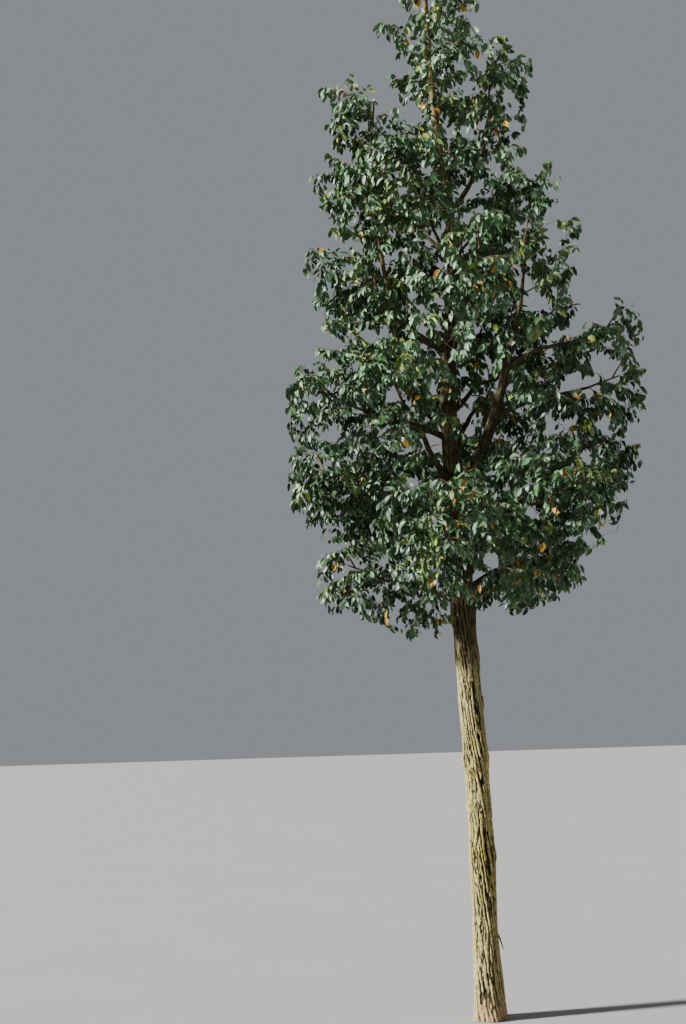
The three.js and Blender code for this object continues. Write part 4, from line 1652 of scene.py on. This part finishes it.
@dataclass(frozen=True)
class LeafFinish:
    """A leaf's colour, the paler veins on it, and how matt its skin is."""

    name: str
    blade: Color
    shade: Color
    vein: Color
    roughness: float

    def build(self, weather: Weather) -> bpy.types.Material:
        """Makes the material.

        Args:
            weather: The shared patches.

        Returns:
            The material.
        """
        material, wiring, shader = new_material(self.name, self.roughness, 0.5)
        place = wiring.object_place()
        blade = weather.patches(wiring, place, 14.0, self.blade, self.shade, 0.5, 0.12)
        blade_place = wiring.add("ShaderNodeUVMap", uv_map="UVMap").outputs[0]
        parts = wiring.add("ShaderNodeSeparateXYZ", {0: blade_place})
        aside = wiring.math("ABSOLUTE", wiring.less(parts.outputs["Y"], 0.5))
        midrib = wiring.remap(aside, 0.012, 0.05, 1.0, 0.0)
        slant = wiring.less(wiring.times(parts.outputs["X"], 66.0), wiring.times(aside, 48.0))
        ribs = wiring.remap(wiring.math("SINE", slant), 0.86, 1.0, 0.0, 0.5)
        veins = wiring.math("MAXIMUM", midrib, ribs)
        color = wiring.mix(veins, blade.outputs["Color"], self.vein)
        wiring.finish(shader, color, 0.35, 0.0012, wiring.less(1.0, veins))
        return material


# In both finishes the heights and colour after the lichen threshold are a painted crown shade, partly darker
# damp bark
TRUNK_FINISH = BarkFinish(
    "corky trunk bark", tone(206, 189, 136), tone(140, 130, 80), tone(33, 29, 16), tone(168, 154, 48),
    (0.82, 1.38), 0.55, (2.10, 4.9), tone(50, 46, 29), tone(112, 95, 62), tone(186, 154, 116), 23.0, 0.7)
BOUGH_FINISH = BarkFinish(
    "rough bough bark", tone(126, 113, 80), tone(84, 77, 52), tone(30, 25, 15), tone(124, 122, 58),
    (2.4, 7.0), 0.62, (2.0, 4.4), tone(62, 55, 37), tone(78, 66, 45), tone(78, 66, 45), 12.0, 0.55)
TWIG_FINISH = TwigFinish("young twig bark", tone(82, 66, 48), tone(122, 104, 78))
# The deep green finish carries painted shade of the lower crown, partly real, and the grey green one a
# painted sky sheen
LEAF_FINISHES = {
    Tint.DEEP: LeafFinish("deep green leaf", tone(34, 64, 32), tone(25, 48, 24), tone(70, 98, 58), 0.42),
    Tint.GREEN: LeafFinish("green leaf", tone(52, 90, 47), tone(39, 69, 36), tone(90, 120, 70), 0.45),
    Tint.GREY: LeafFinish("grey green leaf", tone(82, 118, 80), tone(62, 94, 62), tone(116, 142, 104), 0.50),
    Tint.OLIVE: LeafFinish("olive leaf", tone(68, 92, 38), tone(50, 72, 30), tone(100, 120, 64), 0.48),
    Tint.FRESH: LeafFinish("fresh leaf", tone(126, 138, 44), tone(96, 112, 38), tone(158, 164, 82), 0.50),
    Tint.AMBER: LeafFinish("turned leaf", tone(188, 144, 36), tone(150, 100, 28), tone(194, 160, 74), 0.55),
}


TRUNK_REACH = 0.075
BACKWARD = np.array((0.0, 1.0, 0.0))


@dataclass
class Tube:
    """A closed skin of rings along a route, with the place of each point on the bark."""

    centres: Array
    sides: Array
    across: Array
    radii: Array
    along: Array
    around: int
    fineness: Array
    shift: float
    twist: float = 0.0

    def skin(self) -> tuple[Array, Array, Array, Array]:
        """Makes the rings and the faces between them, closed at both ends.

        Returns:
            The points, the faces as rows of four with a pole named twice, the bark places and the
            share of the relief at each point.
        """
        turn = np.linspace(0, 2 * math.pi, self.around, endpoint=False)
        cosine, sine = np.cos(turn), np.sin(turn)
        radii = self.radii if self.radii.ndim == 2 else self.radii[:, None] * np.ones(self.around)
        spokes = self.sides[:, None] * cosine[:, None] + self.across[:, None] * sine[:, None]
        rings = self.centres[:, None] + spokes * radii[..., None]
        fineness = self.fineness[:, None]
        reach = radii.mean(axis=1, keepdims=True)
        leant = turn[None] + self.twist * self.along[:, None]
        place = np.stack((
            np.cos(leant) * reach * fineness, np.sin(leant) * reach * fineness,
            self.along[:, None] * fineness + self.shift + np.zeros_like(cosine),
        ), axis=-1)
        count = len(self.centres)
        points = np.vstack((rings.reshape(-1, 3), self.centres[:1], self.centres[-1:]))
        places = np.vstack((place.reshape(-1, 3), place[0, :1], place[-1, :1]))
        row, column = np.meshgrid(np.arange(count - 1), np.arange(self.around), indexing="ij")
        following = (column + 1) % self.around
        here, there = row * self.around, (row + 1) * self.around
        walls = np.stack((here + column, here + following, there + following, there + column), axis=-1)
        ring = np.arange(self.around)
        after = (ring + 1) % self.around
        foot, top = count * self.around, count * self.around + 1
        last = (count - 1) * self.around
        foots, tops = np.full_like(ring, foot), np.full_like(ring, top)
        low = np.stack((after, ring, foots, foots), axis=-1)
        high = np.stack((last + ring, last + after, tops, tops), axis=-1)
        relief = np.repeat(np.clip(reach[:, 0] / TRUNK_REACH, 0.12, 1.0), self.around)
        relief[:self.around] = 0.0
        relief[last:] *= 0.3
        relief = np.concatenate((relief, (0.0, 0.0)))
        return points, np.vstack((walls.reshape(-1, 4), low, high)), places, relief


def bark_object(name: str, tubes: list[Tube]) -> bpy.types.Object:
    """Joins tubes into one object that carries the values that the bark relief reads.

    Args:
        name: The object's name.
        tubes: The tubes.

    Returns:
        The object.
    """
    points, faces, places, reliefs, first = [], [], [], [], 0
    for tube in tubes:
        own_points, own_faces, own_places, own_relief = tube.skin()
        points.append(own_points)
        faces.extend(
            [a, b, c] if c == d else [a, b, c, d] for a, b, c, d in (own_faces + first).tolist())
        places.append(own_places)
        reliefs.append(own_relief)
        first += len(own_points)
    made = mesh_object(name, np.vstack(points), faces)
    set_values(made.data, "bark_place", "FLOAT_VECTOR", np.vstack(places))
    set_values(made.data, "relief", "FLOAT", np.concatenate(reliefs))
    return made


@dataclass(frozen=True)
class Relief:
    """How the bark stands out: furrows all round, their depth, and the grain and waver between them."""

    lines: int
    depth: float
    grain: float
    warp: float

    def cut(self, made: bpy.types.Object, rules: NodeRules, finish: bpy.types.Material) -> None:
        """Gives a skin its relief and its finish."""
        sizes = {"Lines": self.lines, "Depth": self.depth, "Grain": self.grain, "Warp": self.warp}
        by_rule(made, rules.bark_relief(), {**sizes, "Material": finish})


@dataclass(frozen=True)
class Scar:
    """The round mark that a pruned bough leaves: a raised ring round a sunken middle."""

    height: float
    heading: float
    radius: float
    lift: float


@dataclass
class TrunkBark:
    """The trunk from the flat cut to the leader's tip, with its corky bark."""

    plan: CrownPlan
    rules: NodeRules
    finish: bpy.types.Material
    around: int = 136
    fine_step: float = 0.0062
    coarse_step: float = 0.036
    fine_height: float = 2.6
    relief: Relief = Relief(23, 0.012, 0.0026, 0.026)
    waver: float = 0.030
    waver_from: float = 0.15
    waver_to: float = 7.6
    twist: float = 1.2
    bulges: tuple[tuple[float, float, float], ...] = (
        (1.52, 0.07, 0.007), (2.15, 0.09, 0.006), (0.92, 0.10, 0.004), (2.42, 0.08, 0.007),
    )
    scars: tuple[Scar, ...] = (
        Scar(2.17, 262.0, 0.036, 0.012), Scar(1.50, 236.0, 0.045, 0.014), Scar(2.34, 70.0, 0.034, 0.010),
        Scar(1.86, 20.0, 0.032, 0.010), Scar(0.94, -18.0, 0.026, 0.005), Scar(1.24, 128.0, 0.036, 0.011),
    )
    stub: tuple[tuple[float, float, float], ...] = (
        (0.101, -0.022, 0.398), (0.091, -0.019, 0.432), (0.081, -0.015, 0.465), (0.062, -0.008, 0.500),
    )
    stub_radii: tuple[float, ...] = (0.0034, 0.0052, 0.0062, 0.0085)
    stub_step: float = 0.03
    stub_around: int = 8
    stub_shift: float = 9.0

    def heights(self) -> Array:
        """The heights of the rings, close together where the bare trunk shows.

        Returns:
            The heights from the cut up.
        """
        low = np.arange(0, self.fine_height, self.fine_step)
        steps = [self.fine_height]
        while steps[-1] < TREE_HEIGHT - 0.02:
            share = (steps[-1] - self.fine_height) / (TREE_HEIGHT - self.fine_height)
            steps.append(steps[-1] + between((self.fine_step, self.coarse_step), min(1.0, share * 1.15)))
        return np.concatenate((low, [height for height in steps if height < TREE_HEIGHT - 0.01]))

    def radii(self, heights: Array) -> Array:
        """The radius of each ring all round: root lobes, slow swellings and scars.

        Args:
            heights: The rings' heights.

        Returns:
            One row a ring.
        """
        turn = np.linspace(0, 2 * math.pi, self.around, endpoint=False)[None]
        z = heights[:, None]
        base = self.plan.trunk.radius(heights)[:, None]
        lobes = 1 + ROOT_LOBE_DEPTH * np.exp(-z / ROOT_LOBE_HEIGHT) * np.cos(ROOT_LOBES * turn)
        slow = np.sin(2 * turn + 3.1 * z) * np.sin(5.3 * z + 1.0) + np.sin(3 * turn - 6.7 * z + 2.0)
        slow = slow + 0.8 * np.sin(turn + 11.0 * z) * np.sin(2.3 * z)
        fade = np.clip(z / self.waver_from, 0, 1) * np.clip(self.waver_to - z, 0, 1)
        radii = base * lobes * (1 + self.waver * slow * fade)
        for height, reach, lift in self.bulges:
            one_sided = 1 + 0.5 * np.sin(turn + 9 * height)
            radii = radii + lift * np.exp(-((z - height) / reach) ** 2) * one_sided
        for scar in self.scars:
            away = (turn - math.radians(scar.heading) + math.pi) % (2 * math.pi) - math.pi
            reach = np.hypot(away * base, (z - scar.height) * 0.8) / scar.radius
            ring = np.exp(-((reach - 0.85) / 0.42) ** 2)
            radii = radii + scar.lift * (ring - 0.5 * np.exp(-(reach / 0.45) ** 2))
        return radii

    def upright(self, centres: Array, radii: Array, along: Array, around: int, shift: float,
                twist: float = 0.0) -> Tube:
        """A tube of level rings.

        Args:
            centres: The rings' centres.
            radii: Their radii.
            along: How far along the bark each one lies.
            around: The points of a ring.
            shift: How far the bark's pattern is shifted.
            twist: How fast the pattern turns on its way up.

        Returns:
            The tube.
        """
        count = len(centres)
        sides, across = np.tile(RIGHT, (count, 1)), np.tile(BACKWARD, (count, 1))
        return Tube(centres, sides, across, radii, along, around, np.ones(count), shift, twist)

    def build(self) -> bpy.types.Object:
        """Makes the trunk's piece.

        Returns:
            The finished object.
        """
        heights = self.heights()
        tube = self.upright(self.plan.trunk.centre(heights), self.radii(heights), heights, self.around, 0.0,
                            self.twist)
        steps = np.arange(len(self.stub)) * self.stub_step
        twig = self.upright(np.array(self.stub), np.array(self.stub_radii), steps, self.stub_around,
                            self.stub_shift)
        made = bark_object("trunk_bark", [tube, twig])
        self.relief.cut(made, self.rules, self.finish)
        hand_over(made, ["trunk"])
        return made


@dataclass
class BoughBark:
    """Every bough with the stem that goes on from it into the foliage, under rough bark."""

    plan: CrownPlan
    rules: NodeRules
    finish: bpy.types.Material
    step: float = 0.010
    facet: float = 0.0055
    most_around: int = 44
    fewest_around: int = 9
    relief: Relief = Relief(12, 0.008, 0.0020, 0.030)
    sway: float = 0.0022
    waves: tuple[float, float] = (14.0, 40.0)
    steady: float = 0.2
    thinnest: float = 0.002
    most_fineness: float = 3.2
    bend: int = 11
    seed: int = 41

    def routes(self) -> list[tuple[Array, Array]]:
        """The points and radii of every bough joined to its stem, and of the trunk's own stems.

        Returns:
            One route a limb.
        """
        by_bearer = {mass.bearer: mass for mass in self.plan.masses if mass.bearer}
        carried: dict[str, tuple[Array, Array]] = {}
        routes = []
        for plan in self.plan.plans:
            limb = self.plan.limb(plan, self.step)
            points, radii = limb.points, limb.radii
            if isinstance(plan.foot, tuple) and plan.foot[1] == 1.0:
                before = carried[plan.foot[0]]
                points, radii = np.vstack((before[0][:-1], points)), np.concatenate((before[1][:-1], radii))
            carried[plan.name] = (points, radii)
            if plan.foliage:
                spare = max(1, int(radii[-1] / self.step))
                stem_points, stem_radii = self.stem_route(by_bearer[plan.name])
                points = np.vstack((points[:-spare], stem_points))
                radii = np.concatenate((radii[:-spare], stem_radii))
                routes.append(self.smoothed(points, radii))
        for mass in self.plan.masses:
            if not mass.bearer:
                routes.append(self.smoothed(*self.stem_route(mass)))
        return routes

    def stem_route(self, mass: FoliageMass) -> tuple[Array, Array]:
        """A mass's stem in fine steps.

        Args:
            mass: The mass.

        Returns:
            The stem's points and radii.
        """
        shares = np.linspace(0, 1, max(3, int(mass.stem.length / self.step)))
        points = np.array([mass.stem.at(share)[0] for share in shares])
        radii = mass.stem.radii[0] + (mass.stem.radii[-1] - mass.stem.radii[0]) * shares**TAPER_POWER
        inside = int(np.flatnonzero(mass.space.holds(points))[-1]) + 1
        end = max(3, end_of_use(points[:inside], mass.feet))
        return points[:end], radii[:end]

    def smoothed(self, points: Array, radii: Array) -> tuple[Array, Array]:
        """A route with its sharp bends rounded off.

        Args:
            points: Its points.
            radii: Its radii.

        Returns:
            The rounded points and radii.
        """
        kernel = np.ones(self.bend) / self.bend
        half = self.bend // 2
        rows = np.column_stack((points, radii))
        padded = np.vstack((2 * rows[0] - rows[half:0:-1], rows, 2 * rows[-1] - rows[-2:-half - 2:-1]))
        smooth = np.column_stack([np.convolve(column, kernel, mode="valid") for column in padded.T])
        return smooth[:, :3], np.maximum(smooth[:, 3], self.thinnest)

    def tube(self, points: Array, radii: Array, number: int) -> Tube:
        """The tube round one route, a little wavering.

        Args:
            points: The route's points.
            radii: Its radii.
            number: The route's number, which shifts its bark pattern.

        Returns:
            The tube.
        """
        random = SeededRandom(self.seed + number)
        tangents = unit(np.gradient(points, axis=0))
        level = np.where(np.abs(tangents[:, 2:3]) > 0.999, RIGHT, UP)
        sides = unit(np.cross(tangents, level))
        along = np.concatenate(((0.0,), np.cumsum(np.linalg.norm(np.diff(points, axis=0), axis=1))))
        fade = np.clip(along / self.steady, 0, 1)[:, None]
        for _ in range(3):
            wave, phase = random.within(*self.waves), random.within(0, 6.3)
            push = unit(random.vector())
            points = points + push * (self.sway * np.sin(along * wave + phase))[:, None] * fade
        around = 2 * math.pi * radii.mean() / self.facet
        around = int(np.clip(around, self.fewest_around, self.most_around))
        fineness = np.full(len(points), min(self.most_fineness, (TRUNK_REACH / radii.mean()) ** 0.6))
        return Tube(points, sides, np.cross(tangents, sides), radii, along, around, fineness, number * 1.7)

    def build(self) -> bpy.types.Object:
        """Makes the boughs' piece.

        Returns:
            The finished object.
        """
        tubes = [self.tube(*route, number) for number, route in enumerate(self.routes())]
        made = bark_object("bough_bark", tubes)
        self.relief.cut(made, self.rules, self.finish)
        hand_over(made, [f"bough_{plan.name}" for plan in self.plan.plans])
        return made


@dataclass
class TwigWork:
    """One kind of thin wood of the crown, as round tapering tubes along its routes."""

    name: str
    routes: list[tuple[Array, Array]]
    rules: NodeRules
    finish: bpy.types.Material
    nodes: list[str]
    sides: int

    def build(self) -> bpy.types.Object:
        """Makes the piece.

        Returns:
            The finished object.
        """
        points = np.vstack([points for points, _ in self.routes])
        radii = np.concatenate([radii for _, radii in self.routes])
        edges, first = [], 0
        for path, _ in self.routes:
            edges.extend((first + i, first + i + 1) for i in range(len(path) - 1))
            first += len(path)
        made = mesh_object(self.name, points, [], edges)
        set_values(made.data, "thickness", "FLOAT", radii)
        by_rule(made, self.rules.twig_tubes(), {"Sides": self.sides, "Material": self.finish})
        hand_over(made, self.nodes)
        return made


@dataclass(frozen=True)
class LeafForm:
    """A leaf of length one along +X with its upper face up: a short stalk and a folded blade."""

    width: float
    fold: float
    curl: float
    twist: float

    STALK = 0.09
    STALK_WIDTH = 0.018
    STATIONS = ((0.0, 0.0), (0.17, 0.74), (0.46, 1.0), (0.78, 0.66), (1.0, 0.0))

    def point(self, share: float, side: float) -> tuple[float, float, float]:
        """A point of the blade.

        Args:
            share: Its share of the blade's length.
            side: How far aside it lies, in shares of the half width.

        Returns:
            The point.
        """
        y = side * self.width / 2
        z = self.fold * abs(y) + self.curl * (share - share * share * 1.6)
        turn = self.twist * share
        x = self.STALK + share * (1 - self.STALK)
        return x, y * math.cos(turn) - z * math.sin(turn), y * math.sin(turn) + z * math.cos(turn)

    def build(self, name: str, forms: bpy.types.Collection) -> None:
        """Makes the leaf's mesh in a collection of forms.

        Args:
            name: The form's name.
            forms: The collection.
        """
        vertices = [self.point(0, 0)]
        marks = [(0.0, 0.5)]
        for share, breadth in self.STATIONS[1:-1]:
            for side in (-1, 0, 1):
                vertices.append(self.point(share, side * breadth))
                marks.append((share, 0.5 + side * breadth / 2))
        vertices.append(self.point(1, 0))
        marks.append((1.0, 0.5))
        tip = len(vertices) - 1
        faces = [(0, 1, 2), (0, 2, 3)]
        for row in range(len(self.STATIONS) - 3):
            a = 1 + 3 * row
            faces += [(a, a + 3, a + 4, a + 1), (a + 1, a + 4, a + 5, a + 2)]
        faces += [(tip - 3, tip, tip - 2), (tip - 2, tip, tip - 1)]
        half = self.STALK_WIDTH / 2
        vertices += [(0.0, -half, 0.0), (0.0, half, 0.0)]
        marks += [(0.0, 0.5), (0.0, 0.5)]
        faces.append((tip + 1, 0, tip + 2))
        mesh = bpy.data.meshes.new(name)
        mesh.from_pydata(vertices, [], faces)
        layer = mesh.uv_layers.new(name="UVMap")
        for loop in mesh.loops:
            layer.data[loop.index].uv = marks[loop.vertex_index]
        forms.objects.link(bpy.data.objects.new(name, mesh))


@dataclass
class LeafWork:
    """The leaves of the crown, one piece for each tint."""

    plan: CrownPlan
    growth: Growth
    rules: NodeRules
    finishes: dict[Tint, bpy.types.Material]
    nodes: list[str]
    forms: tuple[LeafForm, ...] = (
        LeafForm(0.47, 0.30, 0.12, 0.0),
        LeafForm(0.43, 0.50, 0.26, 0.30),
        LeafForm(0.50, 0.18, -0.10, -0.25),
        LeafForm(0.45, 0.62, 0.20, -0.45),
        LeafForm(0.48, 0.12, 0.34, 0.20),
    )
    form_stride: int = 7919
    form_cycle: int = 1009
    box_margin: float = 0.002

    def kept(self) -> Array:
        """Which leaves stay in their space and clear of limbs, of openings and of the solids' box.

        Returns:
            One truth value a leaf.
        """
        places, alongs = np.array(self.growth.places), np.array(self.growth.alongs)
        lengths = np.array(self.growth.lengths)[:, None]
        owners = np.array(self.growth.owners)
        tips, middles = places + alongs * lengths, places + alongs * lengths / 2
        kept = np.ones(len(places), bool)
        for number, mass in enumerate(self.plan.masses):
            own = owners == number
            inside = mass.space.holds(places[own], HABIT.past_walls)
            kept[own] = inside & (mass.space.fill(tips[own]) <= 1)
        for points in (places + alongs * lengths * 0.25, middles, tips):
            kept &= self.plan.field.gap(points) > HABIT.leaf_clearance
        leader = self.plan.trunk.centre(np.arange(*LEADER_IN_VIEW))
        along_leader = [Opening(x, z, LEADER_CLEARANCE, through=False) for x, _, z in leader]
        for opening in (*OPENINGS, *along_leader, *specks(SeededRandom(SPECK_SEED))):
            kept &= ~opening.clears(middles)
        low, high = (np.array(corner) for corner in CAD_BOX)
        half = lengths * 0.3
        low, high = low + self.box_margin, high - self.box_margin
        kept &= ((middles - half > low) & (middles + half < high)).all(axis=1)
        kept &= ((tips > low) & (tips < high)).all(axis=1)
        return kept

    def build(self) -> list[bpy.types.Object]:
        """Makes the leaves' pieces.

        Returns:
            One piece a tint.
        """
        forms = bpy.data.collections.new("leaf forms")
        for i, form in enumerate(self.forms):
            form.build(f"leaf_form_{i + 1}", forms)
        rule = self.rules.leaves_on_points()
        kept = self.kept()
        tints = np.array(self.growth.tints)
        columns = [np.array(rows) for rows in (self.growth.places, self.growth.alongs, self.growth.uppers)]
        lengths = np.array(self.growth.lengths)
        kinds = (np.arange(len(kept)) * self.form_stride) % self.form_cycle % len(self.forms)
        made = []
        for tint in Tint:
            own = kept & (tints == tint.value)
            places, alongs, uppers = (column[own] for column in columns)
            piece = mesh_object(f"leaves_{tint.name.lower()}", places, [])
            set_values(piece.data, "along", "FLOAT_VECTOR", alongs)
            set_values(piece.data, "upper", "FLOAT_VECTOR", uppers)
            set_values(piece.data, "length", "FLOAT", lengths[own])
            set_values(piece.data, "form", "INT", kinds[own])
            by_rule(piece, rule, {"Leaf Forms": forms, "Leaf Scale": 1.0, "Material": self.finishes[tint]})
            hand_over(piece, self.nodes)
            LOG.info("%s: %d leaves", piece.name, int(own.sum()))
            made.append(piece)
        return made


@dataclass(frozen=True)
class Studio:
    """The pale floor, the soft light and the pale surroundings."""

    floor_half: float = 300.0
    floor_gap: float = 0.0005
    floor_tone: Color = tone(152, 150, 147)
    sky_tone: Color = tone(226, 230, 236)
    sky_strength: float = 0.34
    sun_strength: float = 13.6
    sun_distance: float = 20.0
    sun_spread: float = 5.0
    sun_heading: float = 199.0
    sun_rise: float = 29.0

    def build(self) -> None:
        """Makes the floor and the lights."""
        reach = self.floor_half
        corners = np.array([(x * reach, y * reach, 0) for x, y in ((-1, -1), (1, -1), (1, 1), (-1, 1))])
        floor = mesh_object("floor", corners, [(0, 1, 2, 3)])
        floor.location.z = -self.floor_gap
        material, wiring, shader = new_material("pale floor", 0.9, 0.2)
        place = wiring.object_place()
        cloud = wiring.noise(place, 0.8, 2.0)
        darker = tuple(level * 0.94 for level in self.floor_tone[:3]) + (1.0,)
        wiring.feed(shader.inputs["Base Color"], wiring.mix(cloud, self.floor_tone, darker))
        floor.data.materials.append(material)
        sun = bpy.data.objects.new("sun", bpy.data.lights.new("sun", "SUN"))
        sun.data.energy = self.sun_strength
        sun.data.angle = math.radians(self.sun_spread)
        toward = direction(self.sun_heading, self.sun_rise)
        side = unit(np.cross(UP, toward))
        sun.matrix_world = placed(side, np.cross(toward, side), toward, toward * self.sun_distance)
        bpy.context.scene.collection.objects.link(sun)
        world = bpy.data.worlds.new("studio")
        world.use_nodes = True
        background = next(node for node in world.node_tree.nodes if node.type == "BACKGROUND")
        background.inputs["Color"].default_value = self.sky_tone
        background.inputs["Strength"].default_value = self.sky_strength
        bpy.context.scene.world = world


def main() -> None:
    """Builds the studio, the bark, the twigs and the leaves."""
    logging.basicConfig(level=logging.INFO, format="%(name)s: %(message)s")
    Viewpoint().place()
    Studio().build()
    rules, weather, plates = NodeRules(), Weather(), BarkPlates()
    plan = CrownPlan()
    TrunkBark(plan, rules, TRUNK_FINISH.build(weather, plates)).build()
    growth = plan.grow()
    BoughBark(plan, rules, BOUGH_FINISH.build(weather, plates)).build()
    foliage = [mass.name for mass in plan.masses]
    young = TWIG_FINISH.build(weather)
    TwigWork("twigs", growth.twigs, rules, young, foliage, 5).build()
    TwigWork("shoots", growth.shoots, rules, young, foliage, 3).build()
    finishes = {tint: finish.build(weather) for tint, finish in LEAF_FINISHES.items()}
    LeafWork(plan, growth, rules, finishes, foliage).build()


if __name__ == "__main__":
    main()
